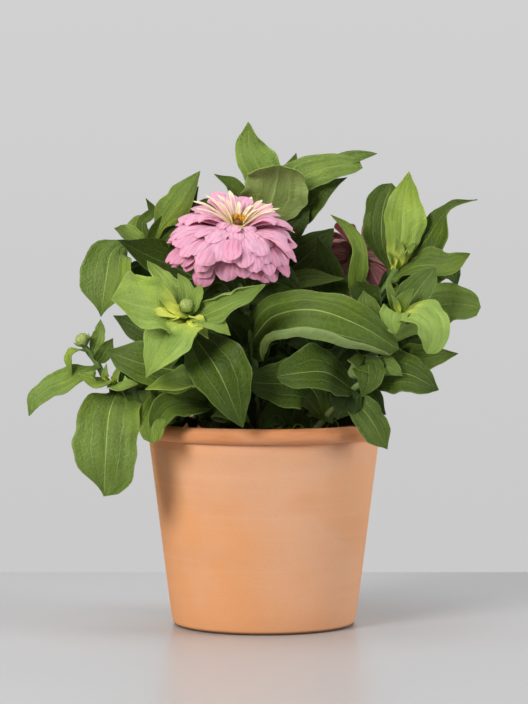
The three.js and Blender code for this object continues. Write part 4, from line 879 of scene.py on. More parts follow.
def make_stage(stage):
    """Finishes of the table, and of the wall behind it, which glows and is painted a little brighter
    towards the top.
    """
    graph, shader = new_material("table", roughness=0.32, specular=0.5)
    mottle = mottled(graph, patches=2.0, specks=900.0)
    base = graph.over(stage.table, (mottle["Patches"], shade(stage.table, 0.97)))
    finish_material(graph, shader, base, mottle["Height"], distance=0.02 * MM, strength=0.3)
    graph, shader = new_material("wall", roughness=1.0, specular=0.0)
    _, _, z = graph.split(object_place(graph))
    # Painted light: the glowing wall is a little brighter towards the top.
    tone = graph.over(shade(stage.wall_tone, 0.92),
                      (graph.span(z, -0.6, 1.2), shade(stage.wall_tone, 1.02)))
    graph.feed(shader.inputs, {"Base Color": (0.0, 0.0, 0.0), "Emission Color": tone,
                               "Emission Strength": 1.0})


class ZINNIA_OT_materials(bpy.types.Operator):
    """Builds the shared node groups and every finish"""

    bl_idname = "zinnia.materials"
    bl_label = "Materials"

    def execute(self, context):
        make_leaf_veins()
        make_petal_lines()
        make_mottle()
        scene = context.scene
        stems, blooms = scene.zinnia_stem, scene.zinnia_bloom
        make_terracotta(scene.zinnia_pot)
        make_soil(scene.zinnia_soil)
        make_floret("pale_speck", (0.62, 0.58, 0.50), (0.45, 0.40, 0.33))
        make_leaf(scene.zinnia_leaf, upper=True)
        make_leaf(scene.zinnia_leaf, upper=False)
        make_green("stem", stems.green, stems.tinge)
        make_green("hair", (0.62, 0.68, 0.5), (0.5, 0.5, 0.4))
        make_green("bract_core", (0.30, 0.42, 0.13), (0.2, 0.3, 0.1))
        make_bract(stems)
        make_petal("pink_petal", blooms.pink, blooms.pale, blooms.mauve, (0.80, 0.55, 0.50), 0.6)
        make_petal("pink_underside", blooms.pale, (0.92, 0.70, 0.72), blooms.pink, (0.62, 0.60, 0.35), 0.65)
        make_petal("cream_petal", blooms.cream, (0.93, 0.84, 0.62), blooms.pale, (0.74, 0.66, 0.22), 0.6)
        make_petal("faded_petal", blooms.faded, blooms.dried, (0.24, 0.09, 0.10), (0.30, 0.20, 0.10), 0.8)
        make_floret("gold_floret", blooms.gold, (0.90, 0.58, 0.05))
        make_floret("disc_eye", blooms.eye, (0.30, 0.13, 0.02))
        make_floret("brown_floret", (0.20, 0.11, 0.04), (0.09, 0.045, 0.02))
        make_stage(scene.zinnia_stage)
        return {"FINISHED"}


# ---- Lines and surfaces ----


def jitter(k):
    """A repeatable draw between -1 and 1 for the kth thing."""
    value = math.sin(k * 12.9898) * 43758.5453
    return 2 * (value - math.floor(value)) - 1


def unit(vectors):
    """Vectors of length one."""
    return vectors / np.linalg.norm(vectors, axis=-1, keepdims=True)


def smoothed(points):
    """Points along a smooth line through some points, spaced by the root of their distance."""
    points = np.array(points, float)
    padded = np.vstack([2 * points[0] - points[1], points, 2 * points[-1] - points[-2]])
    made = []
    for p0, p1, p2, p3 in zip(padded, padded[1:], padded[2:], padded[3:]):
        d0, d1, d2 = (math.sqrt(np.linalg.norm(b - a)) for a, b in ((p0, p1), (p1, p2), (p2, p3)))
        start = ((p1 - p0) / d0 - (p2 - p0) / (d0 + d1) + (p2 - p1) / d1) * d1
        end = ((p2 - p1) / d1 - (p3 - p1) / (d1 + d2) + (p3 - p2) / d2) * d1
        x = np.linspace(0, 1, CURVE_STEPS, endpoint=False)[:, None]
        bend = -3 * p1 + 3 * p2 - 2 * start - end
        made.append(p1 + start * x + bend * x ** 2 + (2 * p1 - 2 * p2 + start + end) * x ** 3)
    return np.vstack([*made, points[-1:]])


class Path:
    """A smooth line through points, read by the share of its length."""

    def __init__(self, points):
        self.samples = smoothed(points)
        steps = np.linalg.norm(np.diff(self.samples, axis=0), axis=1)
        self.shares = np.concatenate([[0.0], np.cumsum(steps)]) / steps.sum()

    def at(self, where):
        return np.stack([np.interp(where, self.shares, self.samples[:, k]) for k in range(3)], axis=-1)

    def along(self, where):
        return unit(self.at(np.minimum(1, where + CHORD)) - self.at(np.maximum(0, where - CHORD)))


def leaf_width(s, belly, full):
    """Half width of a leaf at s from its base to its point, as a share of the widest."""
    stretch = math.log(0.5) / np.log(CLASP + (1 - CLASP) * belly)
    curve = np.sin(np.pi * np.clip(CLASP + (1 - CLASP) * s, 0, 1) ** stretch)
    width = np.clip(curve, 0, 1) ** full
    # The sides draw in to a slender point.
    width *= 1 - 0.30 * np.clip((s - TIP_FROM) / 0.16, 0, 1) ** 2 * (full > 0.65)
    return np.where(s < 1, np.maximum(width, CLASP_SHARE - 0.9 * s), 0.0)


def leaf_points(stem, row, order, s, t):
    """The middle surface of a leaf, in millimetres: s runs from base to tip and t across."""
    base = stem.at(row.at)
    first = unit(np.array(row.path[0], float) - base)
    rib = Path([base + first * ROOTING, *row.path])
    point, along = rib.at(s), rib.along(s)
    face = np.outer(1 - s, row.face) + np.outer(s, row.turned)
    up = unit(face - along * np.sum(face * along, axis=1, keepdims=True))
    side = np.cross(along, up)
    # The blade twists a little towards its tip.
    twist = TWIST * jitter(3.1 * order + 0.7) * s[:, None] ** 2
    side, up = side * np.cos(twist) + up * np.sin(twist), up * np.cos(twist) - side * np.sin(twist)
    right, away = t > 0, np.abs(t)

    def by_half(values):
        """The first value on the right half, the second on the left."""
        return np.where(right, *values)

    def waves(number, own, apart):
        """Phase of a number of waves from base to tip, shifted for each leaf and for its right half."""
        return 2 * np.pi * (number * s + own * order) + by_half((apart, 0.0))

    uneven = 1 + 0.075 * np.sin(waves(1.7, 0.43, 1.1)) + 0.03 * np.sin(waves(5.3, 0.71, 2.3))
    shape = leaf_width(s, row.belly - by_half((row.lean, -row.lean)),
                       row.full + by_half((row.slant, -row.slant)))
    reach = by_half((row.right, row.left)) * uneven * shape
    bend = np.radians(by_half(row.fold))
    # Where a half curls, it rolls up beyond TURN_UP and then runs on straight.
    rolls = np.clip((s - 0.08) / 0.25, 0, 1) * np.clip((1.02 - s) / 0.1, 0, 1)
    curl = np.maximum(np.radians(by_half(row.curl)) * rolls, 0.001)
    beyond = np.maximum(away - TURN_UP, 0)
    round_part = np.minimum(beyond, TURN_ROUND)
    radius, straight = TURN_ROUND / curl, beyond - round_part
    turn = curl * round_part / TURN_ROUND
    out = np.minimum(away, TURN_UP) + radius * np.sin(turn) + straight * np.cos(curl)
    rise_up = radius * (1 - np.cos(turn)) + straight * np.sin(curl)
    lift = np.maximum(out, 0) ** 1.6 * reach * np.sin(bend) + rise_up * reach
    swing = np.sin(waves(1.6, 0.37, 1.3)) * np.sin(np.pi * np.minimum(1, 1.15 * s))
    lift += 1.4 * row.wave * t ** 2 * swing
    # Below the waves that the solid has too: a crisper margin, and bulges between furrowed veins.
    size = min(1.0, max(row.right, row.left) / BROAD)
    rise = np.sin(np.pi * np.clip(s * 1.05, 0, 1))
    lift += size * 1.2 * away ** 3 * np.sin(waves(3.3, 0.61, 2.1)) * rise
    lift += size * 0.55 * rise * (1 + 0.4 * jitter(order)) * (
        np.sin(np.pi * np.clip(away / SIDE_VEIN, 0, 1)) ** 0.8
        + 0.6 * np.sin(np.pi * np.clip((away - SIDE_VEIN) / (1 - SIDE_VEIN), 0, 1)) ** 0.8)
    lift -= size * 0.22 * np.exp(-(t / 0.09) ** 2) * (1 - 0.7 * s)
    lift += size * 0.24 * np.sin(2 * np.pi * (8 * s - 1.8 * away)) * np.sin(np.pi * away) * rise
    return point + side * (np.sign(t) * out * reach * np.cos(bend))[:, None] + up * lift[:, None]


def leaves_of_pair(stem, row, shade):
    """A pair's two leaves, as rows of single leaves. shade is how much more painted shade they get."""
    name, at, heading, lengths, half, rise, droop = row
    made = []
    for which, length_of in enumerate(lengths):
        if not length_of:
            continue
        turn = math.radians(heading + 180 * which)
        out = np.array([math.cos(turn), math.sin(turn), 0.0])

        def reach(start, degrees):
            level, climb = math.cos(math.radians(degrees)), math.sin(math.radians(degrees))
            return start + length_of / 2 * (out * level + np.array([0.0, 0.0, climb]))

        middle = reach(stem.at(at), rise)
        tip = reach(middle, rise - droop)
        width = half * (PAIR_SPREAD + (1 - PAIR_SPREAD) * length_of / max(lengths))
        young = 0.08 + 0.6 * at ** 6 + 0.08 * jitter(heading + at)
        # The third tone is painted shade, more on leaves low on the stem.
        tone = (young, 0.2 + 0.2 * jitter(at * 7 + which), 0.22 * (1 - at) + shade)
        face = (-0.45 * out[0], -0.45 * out[1], 0.9)
        made.append((which, leaf(name, at, (middle, tip), width, width, face, wave=1.3, tone=tone)))
    return made


def petal_points(row, angle, tilt, stretch, draw, s, t):
    """The middle surface of a petal of a bloom that stands on the origin and points along +Z."""
    out = np.array([math.cos(angle), math.sin(angle), 0.0])
    aside = np.array([-out[1], out[0], 0.0])

    def direction(degrees):
        return out * math.cos(math.radians(degrees)) + np.array([0, 0, math.sin(math.radians(degrees))])

    half = row.length * stretch / 2
    root = out * row.root + np.array([0, 0, row.height])
    bend = root + direction(row.angles[0] + tilt) * half
    tip = bend + direction(row.angles[1] + tilt) * half
    # The end is round, with a shallow notch or two in it.
    share = min(1.0, row.half / 6)
    notch = 0.018 * np.exp(-((t - 0.3 * draw(1)) / 0.2) ** 2) + 0.012 * np.exp(-((t + 0.55) / 0.2) ** 2)
    end = 1 - 0.09 * t ** 2 - notch * share
    q = (s * (1 + (end - 1) * s ** 5))[:, None]
    ridge = (1 - q) ** 2 * root + 2 * q * (1 - q) * bend + q ** 2 * tip
    slope = unit((1 - q) * (bend - root) + q * (tip - bend))
    up = np.cross(slope, aside)
    neck = np.interp(s, (0, 0.2, 0.45, 0.66, TIP_FROM), row.widths)
    width = neck * np.sqrt(np.clip(1 - 0.50 * (np.clip(s - TIP_FROM, 0, 1) / 0.22) ** 2.2, 0, 1))
    width *= row.half * (1 + 0.07 * draw(2))
    lift = row.roll * width * np.abs(t) ** 1.8 * (0.35 + 0.65 * np.sin(np.pi * np.clip(s, 0, 1) ** 0.7))
    lift += 0.42 * share * np.cos(3.4 * np.pi * t + draw(3)) * np.sin(np.pi * s ** 1.5)
    lift += 1.1 * share * t ** 2 * np.sin(2 * np.pi * (0.9 * s + draw(4))) * s
    lift -= 3.6 * share * (np.clip(s - 0.55, 0, 1) / 0.45) ** 2.2 * (0.8 + 0.5 * draw(10))
    roll = 0.16 * draw(5) * s * t * width
    sway = 1.3 * draw(6) * s ** 2 * (row.length / 37)
    # -aside keeps the blade's upper face up.
    return ridge - np.outer(t * width + sway, aside) + up * (lift + roll)[:, None]


def petals_of(bloom, first, last):
    """(ring, level, angle, tilt, stretch, number) of each petal of a bloom, from its ring number first
    up to but not including last."""
    turn, number, made = 0.3, bloom.seed, []
    for level, row in enumerate(bloom.rings):
        for k in range(row.count):
            number += 1
            angle = turn + 2 * math.pi * (k + PETAL_DRIFT * jitter(number)) / row.count
            facing = -math.sin(angle)
            tilt = PETAL_TILT * jitter(number + 0.5) - row.lean * facing
            stretch = 1 + PETAL_STRETCH * jitter(number + 0.25) - bloom.left * math.cos(angle)
            if facing > row.front[1]:
                stretch, tilt = stretch * row.front[0], tilt - FRONT_DROP
            if first <= level < last and row.faces[0] <= facing <= row.faces[1]:
                made.append((row, level, angle, tilt, stretch, number))
        turn += math.pi / row.count + RING_TURN
    return made


def upright(direction):
    """The turn from +Z to a direction."""
    return UP.rotation_difference(Vector(direction).normalized()).to_matrix().to_4x4()


def stand(head):
    """Stands what is built round +Z on the centre of a bud or bloom, along its axis, in metres."""
    return Matrix.Translation(Vector(head.centre) * MM) @ upright(head.axis)


def rounds(outline):
    """An outline's radii and heights in metres, from millimetres."""
    return [(radius * MM, height * MM) for radius, height in outline]


def moved(points, matrix):
    """Points in millimetres, in metres after a matrix."""
    matrix = np.array(matrix @ Matrix.Scale(MM, 4))
    return points @ matrix[:3, :3].T + matrix[:3, 3]


# ---- Pieces ----


def take(*pieces):
    """Makes these the only selected pieces, and the first the active one."""
    for piece in bpy.context.selected_objects:
        piece.select_set(False)
    for piece in pieces:
        piece.select_set(True)
    if pieces:
        bpy.context.view_layer.objects.active = pieces[0]


def named(piece, name):
    """A new piece with its name on it and on its mesh."""
    piece.name = piece.data.name = name
    return piece


@contextmanager
def edit_mode(select="VERT"):
    """Edit mode on the active piece, with all of it selected."""
    bpy.ops.object.mode_set(mode="EDIT")
    bpy.ops.mesh.select_mode(type=select)
    bpy.ops.mesh.select_all(action="SELECT")
    yield
    bpy.ops.mesh.select_mode(type="VERT")
    bpy.ops.object.mode_set(mode="OBJECT")


def apply_modifier(piece, kind, **settings):
    """Gives the active piece a modifier and applies it."""
    modifier = piece.modifiers.new(kind.lower(), kind)
    for key, value in settings.items():
        setattr(modifier, key, value)
    bpy.ops.object.modifier_apply(modifier=modifier.name)


def smooth(degrees):
    """Smooth shading on the active piece, with edges that turn further than this left sharp."""
    bpy.ops.object.shade_smooth_by_angle(angle=math.radians(degrees))


def blank_blade(across, along):
    """A flat blade, x and y from -1 to 1, to be copied and shaped. Its map is named blade."""
    take()
    bpy.ops.mesh.primitive_grid_add(x_subdivisions=across, y_subdivisions=along, size=2.0,
                                    location=(0, 0, 0), calc_uvs=True)
    piece = named(bpy.context.object, "blank")
    piece.data.uv_layers[0].name = "blade"
    piece.data.attributes.new("tone", "FLOAT_COLOR", "POINT")
    return piece


def spread(blank, warp):
    """s and t of a blank's points, with t moved by warp, and its map put in step with them."""
    flat = np.empty(len(blank.data.vertices) * 3)
    blank.data.vertices.foreach_get("co", flat)
    flat = flat.reshape(-1, 3)
    s, t = (flat[:, 1] + 1) / 2, warp(flat[:, 0])
    corners = np.empty(len(blank.data.loops), int)
    blank.data.loops.foreach_get("vertex_index", corners)
    blank.data.uv_layers["blade"].uv.foreach_set(
        "vector", np.stack([(t[corners] + 1) / 2, s[corners]], axis=1).ravel())
    return s, t


def linked(name, data):
    """A new object in the scene."""
    piece = bpy.data.objects.new(name, data)
    bpy.context.scene.collection.objects.link(piece)
    return piece


def shaped(blank, points, tone):
    """A copy of the blank with its own mesh, moved onto points in metres, with its tone."""
    mesh = blank.data.copy()
    mesh.vertices.foreach_set("co", np.ascontiguousarray(points, dtype=np.float32).ravel())
    tones = np.tile(np.array([*tone, 1.0], np.float32), (len(mesh.vertices), 1))
    mesh.attributes["tone"].data.foreach_set("color", tones.ravel())
    mesh.update()
    return linked("blade", mesh)


def joined(pieces, name, *materials):
    """One piece from several, with its materials."""
    take(*pieces)
    if len(pieces) > 1:
        bpy.ops.object.join()
    piece = named(bpy.context.object, name)
    piece.data.materials.clear()
    for material in materials:
        piece.data.materials.append(bpy.data.materials[material])
    return piece


def thickened(piece, thickness, under=0):
    """Gives flat blades their thickness, with the underside's material under places on."""
    take(piece)
    with edit_mode():
        bpy.ops.mesh.remove_doubles(threshold=DOUBLES)
    apply_modifier(piece, "SOLIDIFY", thickness=thickness, offset=0.0, material_offset=under)
    smooth(50)
    return piece


def scattered(model, matrices, name, material):
    """Copies of a model at each place, as one piece."""
    copies = []
    for matrix in matrices:
        mesh = model.data.copy()
        mesh.transform(matrix)
        copies.append(linked("copy", mesh))
    return joined(copies, name, material)


def discard(piece):
    """Removes a model that has been copied or used."""
    mesh = piece.data
    bpy.data.objects.remove(piece)
    bpy.data.meshes.remove(mesh)


def settled(piece, slot, *nodes):
    """Ties a finished piece to the frame."""
    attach(piece, "root")
    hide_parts(*nodes)


# ---- Pot and soil ----


def widen(rise, grow):
    """Extrudes the selected edges upwards and widens what is new."""
    bpy.ops.mesh.extrude_edges_move(TRANSFORM_OT_translate={"value": (0, 0, rise)})
    bpy.ops.transform.resize(value=(grow, grow, 1), center_override=(0, 0, 0))


def turned(outline, sides):
    """A closed shape turned round +Z: a disc at the outline's first point, extruded up the outline's
    points of radius and height and filled at the last."""
    take()
    radius, height = outline[0]
    bpy.ops.mesh.primitive_circle_add(vertices=sides, radius=radius, fill_type="NGON",
                                      location=(0, 0, height))
    piece = bpy.context.object
    bpy.ops.object.transform_apply(location=True)
    with edit_mode("EDGE"):
        for (before, low), (after, high) in zip(outline, outline[1:]):
            widen(high - low, after / before)
        bpy.ops.mesh.edge_face_add()
        bpy.ops.mesh.select_mode(type="VERT")
        bpy.ops.mesh.select_all(action="SELECT")
        bpy.ops.mesh.normals_make_consistent(inside=False)
    return piece


def bow(centre, radius, start, end, steps):
    """Points of radius and height on an arc, by its angles in degrees."""
    angles = [math.radians(start + (end - start) * k / steps) for k in range(steps + 1)]
    return [(centre[0] + radius * math.cos(a), centre[1] + radius * math.sin(a)) for a in angles]


def wall_radius(pot, height):
    """Outside radius of the pot's wall at a height."""
    return pot.foot_radius + (pot.neck_radius - pot.foot_radius) * height / (pot.height - pot.rim_roll)


class ZINNIA_OT_pot(bpy.types.Operator):
    """Turns the pot from its foot, up its wall and over its rim, and drills the drain holes"""

    bl_idname = "zinnia.pot"
    bl_label = "Pot"

    def execute(self, context):
        pot = context.scene.zinnia_pot
        neck = pot.height - pot.rim_roll
        roll = pot.rim_roll / 2
        corner, lip, heel = 3.2 * MM, 1.8 * MM, 5 * MM
        outline = bow((pot.foot_radius - corner, corner), corner, -88, 0, 4)
        outline += [(wall_radius(pot, neck * k / 12), neck * k / 12) for k in range(1, 12)]
        outline += [(pot.neck_radius - 0.1 * MM, neck - 1.2 * MM), (pot.neck_radius - 0.5 * MM, neck)]
        outline += bow((pot.rim_radius - roll, neck + roll), roll, -80, 90, 14)
        outline += bow((pot.neck_radius - pot.wall + corner + lip, pot.height - lip), lip, 90, 175, 5)
        outline += [(wall_radius(pot, share * neck) - pot.wall, share * neck)
                    for share in (1, 0.8, 0.6, 0.4, 0.2)]
        outline += bow((wall_radius(pot, pot.floor) - pot.wall - heel, pot.floor + heel), heel, 0, -90, 5)
        outline += [(2 * MM, pot.floor)]
        piece = turned(outline, pot.sides)
        drills = []
        for k in range(3):
            angle = math.pi / 2 + 2 * math.pi * k / 3
            place = (pot.drain_circle * math.cos(angle), pot.drain_circle * math.sin(angle), 0)
            take()
            bpy.ops.mesh.primitive_cylinder_add(vertices=24, radius=pot.drain_radius, depth=3 * pot.floor,
                                                location=place)
            drills.append(bpy.context.object)
        drill = joined(drills, "drill")
        take(piece)
        apply_modifier(piece, "BOOLEAN", object=drill, operation="DIFFERENCE")
        discard(drill)
        smooth(40)
        settled(joined([piece], "clay_pot", "fired_clay"), "terracotta", "pot")
        return {"FINISHED"}


def soil_height(soil, x, y):
    """Height of the soil over its usual level at a place: the same lie as the frame's, and smaller
    lumps."""
    x, y = x / MM, y / MM
    wide = math.sin(0.31 * x + 1.7) * math.cos(0.27 * y - 0.6) + 0.6 * math.sin(0.83 * x - 0.71 * y)
    small = 0.9 * noise.noise((x / 4, y / 4, 0)) + 0.45 * noise.noise((x / 1.6, y / 1.6, 3))
    return soil.lump * (wide + small / 1.6)


class ZINNIA_OT_soil(bpy.types.Operator):
    """Fills the pot with lumpy soil and strews crumbs over it"""

    bl_idname = "zinnia.soil"
    bl_label = "Soil"

    def execute(self, context):
        pot, soil = context.scene.zinnia_pot, context.scene.zinnia_soil
        clearance = pot.wall + 0.4 * MM
        bottom = pot.floor + 0.3 * MM
        edge = wall_radius(pot, soil.top) - clearance
        outline = [(wall_radius(pot, bottom) - clearance, bottom), (edge, soil.top - 2 * MM)]
        outline += [(edge * (1 - k / SOIL_RINGS), soil.top) for k in range(SOIL_RINGS)]
        heap = turned(outline, pot.sides)
        for vertex in heap.data.vertices:
            x, y, z = vertex.co
            if z > soil.top - 1 * MM:
                vertex.co.z = z + soil_height(soil, x, y)
        take(heap)
        bpy.ops.object.shade_smooth()
        take()
        bpy.ops.mesh.primitive_ico_sphere_add(subdivisions=1, radius=soil.crumb)
        crumb = bpy.context.object
        for vertex in crumb.data.vertices:
            vertex.co *= 1 + 0.3 * noise.noise(vertex.co * 900)
        draw = np.random.default_rng(7)
        places, pale = [], []
        for k in range(soil.crumbs):
            turn, out = draw.uniform(0, 2 * math.pi), edge * math.sqrt(draw.uniform(0, 0.985))
            x, y = out * math.cos(turn), out * math.sin(turn)
            size = 0.45 + 0.9 * draw.uniform() ** 3
            z = soil.top + soil_height(soil, x, y) + 0.3 * soil.crumb * size
            long = 1 + 1.6 * draw.uniform() ** 4
            spin = Quaternion(draw.normal(size=4)).normalized().to_matrix().to_4x4()
            shape = Matrix.Diagonal((size * long, size, size * draw.uniform(0.5, 1.0), 1))
            (pale if k % PALE_EVERY == 0 else places).append(Matrix.Translation((x, y, z)) @ spin @ shape)
        crumbs = scattered(crumb, places, "soil_crumbs", "crumbly_soil")
        specks = scattered(crumb, pale, "soil_specks", "pale_speck")
        discard(crumb)
        settled(joined([heap], "soil_heap", "crumbly_soil"), "potting_soil", "soil")
        for loose in (crumbs, specks):
            settled(loose, "potting_soil", "soil")
        return {"FINISHED"}


# ---- Stems and leaves ----


def rows_on(key):
    """(row, order) of every leaf of a stem: single leaves, pairs and the small ones at its tip."""
    stem = Path(STEMS[key][1])
    rows = [(row, order) for order, row in enumerate(LEAVES) if row.stem == key]
    # Inner pairs get more painted shade.
    for table, shade in ((PAIRS, 0), (INNER_PAIRS, 0.3)):
        for order, pair in enumerate(table):
            if pair[0] == key:
                rows += [(row, order + 0.5 * which) for which, row in leaves_of_pair(stem, pair, shade)]
    rows += [(row, 100 + order) for order, row in enumerate(TIP_LEAVES + INNER_LEAVES) if row.stem == key]
    return stem, rows


def stalk_along(path, radius, swell, sides):
    """A stem along a path: its radius in metres, and its share of that at evenly spaced places."""
    line = bpy.data.curves.new("line", "CURVE")
    line.dimensions = "3D"
    line.bevel_depth = radius
    line.bevel_resolution = (sides - 4) // 2
    line.use_fill_caps = True
    spline = line.splines.new("POLY")
    spline.points.add(len(swell) - 1)
    centres = path.at(np.linspace(0, 1, len(swell))) * MM
    for knot, centre, wide in zip(spline.points, centres, swell):
        knot.co, knot.radius = (*centre, 1), wide
    take(linked("stalk", line))
    bpy.ops.object.convert(target="MESH")
    with edit_mode():
        bpy.ops.mesh.remove_doubles(threshold=DOUBLES)
        bpy.ops.mesh.normals_make_consistent(inside=False)
    smooth(50)
    return bpy.context.object


def hair_places(path, radius, lowest, number, draw):
    """Where hairs stand on a stem, out from its skin and leaning a little along it."""
    places = []
    for _ in range(number):
        where = draw.uniform(lowest, 0.99)
        along = Vector(path.along(where))
        out = along.orthogonal().normalized()
        out.rotate(Quaternion(along, draw.uniform(0, 2 * math.pi)))
        lean = out + 0.35 * along * draw.normal()
        root = Vector(path.at(where)) * MM + 0.97 * radius * out
        size = Matrix.Scale(draw.uniform(0.5, 1.1), 4)
        places.append(Matrix.Translation(root) @ upright(lean) @ size)
    return places


class ZINNIA_OT_stems(bpy.types.Operator):
    """Draws each stem along its path, swollen where leaves join it, and sets hairs on it"""

    bl_idname = "zinnia.stems"
    bl_label = "Stems"

    def execute(self, context):
        soil, stems = context.scene.zinnia_soil, context.scene.zinnia_stem
        take()
        bpy.ops.mesh.primitive_cone_add(vertices=3, radius1=HAIR_RADIUS * MM, radius2=0,
                                        depth=stems.hair, location=(0, 0, stems.hair / 2))
        bpy.ops.object.transform_apply(location=True)
        hair = bpy.context.object
        draw = np.random.default_rng(11)
        shares = np.linspace(0, 1, STEM_RINGS)
        for key, (radius, _) in STEMS.items():
            path, rows = rows_on(key)
            swell = 1.06 - 0.16 * shares
            for row, _ in rows:
                swell += JOINT_SWELL * np.exp(-((shares - row.at) / JOINT_REACH) ** 2)
            stalk = stalk_along(path, radius * MM, np.minimum(swell, THICKEST), stems.sides)
            # The lowest hairs stand just below the top of the soil.
            lowest = 0.15 * soil.top / MM / path.at(1.0)[2]
            places = hair_places(path, radius * MM, lowest, stems.hairs, draw)
            hairs = scattered(hair, places, key + "_stem_hairs", "hair")
            settled(joined([stalk], key + "_stem_stalk", "stem"), "foliage", key + "_stem")
            settled(hairs, "foliage", key + "_stem")
        discard(hair)
        return {"FINISHED"}


class ZINNIA_OT_leaves(bpy.types.Operator):
    """Shapes every leaf from one flat blade: single leaves, pairs and the young tips"""

    bl_idname = "zinnia.leaves"
    bl_label = "Leaves"

    def execute(self, context):
        leaves = context.scene.zinnia_leaf
        blank = blank_blade(leaves.across, leaves.along)
        # Columns stand closer beside the midrib, where the furrow is.
        s, t = spread(blank, lambda x: np.sign(x) * np.abs(x) ** 1.25)
        for key in STEMS:
            stem, rows = rows_on(key)
            blades = []
            for row, order in rows:
                points = leaf_points(stem, row, order, s, t)
                blades.append(shaped(blank, points * MM, row.tone))
            foliage = joined(blades, key + "_stem_leaves", "leaf_upper", "leaf_underside")
            settled(thickened(foliage, leaves.thickness, under=1), "foliage", key + "_stem")
        discard(blank)
        return {"FINISHED"}


# ---- Buds and blooms ----


def scale_points(radii, heights, turn, half, s, t, lift):
    """A scale that lies on a round body: radii and heights at its foot, middle and tip."""
    stops = (0, 0.5, 1)
    radius = np.interp(s, stops, radii) + lift * (0.25 + 0.75 * s) * (1 - 0.6 * t ** 2)
    height = np.interp(s, stops, heights)
    wide = half * np.where(s < 0.45, 0.72 + 0.28 * s / 0.45,
                           np.sqrt(np.clip(1 - ((s - 0.45) / 0.55) ** 2, 0, 1)))
    angle = turn - t * wide / np.maximum(radius, 0.5)
    height -= 0.12 * half * t ** 2 * s
    return np.stack([radius * np.cos(angle), radius * np.sin(angle), height], axis=1)


def scale_rings(blank, s, t, body, rings, matrix, tones):
    """Blades for rings of scales on a body given by its radius at a height: each ring is (count, half
    width, height of foot, height of tip, lift), and tones holds each ring's tone."""
    blades = []
    for level, (number, half, low, high, lift) in enumerate(rings):
        heights = [low, (low + high) / 2, high]
        radii = [body(height) for height in heights]
        for k in range(number):
            turn = 2 * math.pi * (k + 0.5 * (level % 2) + 0.08 * jitter(7 * level + k)) / number
            points = scale_points(radii, heights, turn, half, s, t, lift)
            blades.append(shaped(blank, moved(points, matrix), tones[level]))
    return blades


def leafy_scale(radius, turn, s, t):
    """A small pointed leaf at the foot of a bud."""
    away = radius * np.interp(s, (0, 0.5, 1), (0.55, 1.05, 1.12))
    up = radius * np.interp(s, (0, 0.5, 1), (-0.75, -0.25, 0.35))
    wide = radius * 0.36 * np.sin(np.pi * (0.2 + 0.8 * s)) ** 0.8
    angle = turn - t * wide / away
    away = away + 0.1 * radius * (1 - t ** 2) * s
    return np.stack([away * np.cos(angle), away * np.sin(angle), up], axis=1)


def add_bud(stem, bud, blank, s, t):
    """A round bud with its rings of scales and the small leaves at its foot."""
    matrix, size = stand(bud), bud.radius
    take()
    bpy.ops.mesh.primitive_uv_sphere_add(segments=24, ring_count=16, radius=0.93 * size * MM)
    ball = bpy.context.object
    ball.data.transform(matrix)
    bpy.ops.object.shade_smooth()

    def body(height):
        return math.sqrt(max(0.04, (0.95 * size) ** 2 - height ** 2))

    rings = [(8, 0.34 * size, -0.90 * size, -0.12 * size, 0.25),
             (9, 0.36 * size, -0.62 * size, 0.30 * size, 0.28),
             (9, 0.36 * size, -0.25 * size, 0.62 * size, 0.24),
             (8, 0.30 * size, 0.12 * size, 0.84 * size, 0.2),
             (6, 0.20 * size, 0.50 * size, 0.93 * size, 0.15)]
    tones = [(0.65 + 0.1 * level, 0, 0.5) for level in range(len(rings))]
    blades = scale_rings(blank, s, t, body, rings, matrix, tones)
    for k in range(6):
        points = leafy_scale(size, math.pi * k / 3, s, t)
        blades.append(shaped(blank, moved(points, matrix), (0.5, 0, 0)))
    scales = thickened(joined(blades, stem + "_bud_scales", "bract"), 0.22 * MM)
    settled(scales, "foliage", stem)
    settled(joined([ball], stem + "_bud", "bract_core"), "foliage", stem)


def add_cup(stem, wide, bloom, tone, blank, s, t):
    """The scaly cup under a bloom, on a stem of a radius."""
    matrix, core = stand(bloom), bloom.core
    top = -CORE_DEPTH * core - 0.5
    heights = (top - CUP_DEPTH, top - 8, top - 4.5, top, top + 0.6 * core)
    radii = (0.85 * wide, 1.1 * wide, 0.72 * core, 0.9 * core, 0.98 * core)

    def body(height):
        return float(np.interp(height, heights, radii))

    outline = [(body(height), height) for height in np.linspace(heights[0], top, 12)]
    cup = turned(rounds([*outline, (0.5, top)]), CUP_SIDES)
    cup.data.transform(matrix)
    take(cup)
    smooth(50)
    rings = [(7, 0.30 * core, top - 8.5, top - 3.5, 0.5),
             (9, 0.34 * core, top - 7, top - 1, 0.6),
             (10, 0.36 * core, top - 5, top + 1.6, 0.6),
             (11, 0.36 * core, top - 2.6, top + 4, 0.55)]
    blades = scale_rings(blank, s, t, body, rings, matrix, [tone] * len(rings))
    scales = thickened(joined(blades, stem + "_cup_scales", "bract"), 0.3 * MM)
    settled(scales, "foliage", stem)
    settled(joined([cup], stem + "_cup", "bract_core"), "foliage", stem)


class ZINNIA_OT_buds(bpy.types.Operator):
    """Models the round buds and the scaly cups under the blooms"""

    bl_idname = "zinnia.buds"
    bl_label = "Buds and Cups"

    def execute(self, context):
        blank = blank_blade(6, 8)
        s, t = spread(blank, lambda x: x)
        for key, bud in BUDS.items():
            add_bud(key + "_stem", bud, blank, s, t)
        cups = (("flower", MAIN_BLOOM, (0.35, 0, 0.8)), ("faded", FADED_BLOOM, (0.1, 0, 1)))
        for key, bloom, tone in cups:
            add_cup(key + "_stem", STEMS[key][0], bloom, tone, blank, s, t)
        discard(blank)
        return {"FINISHED"}


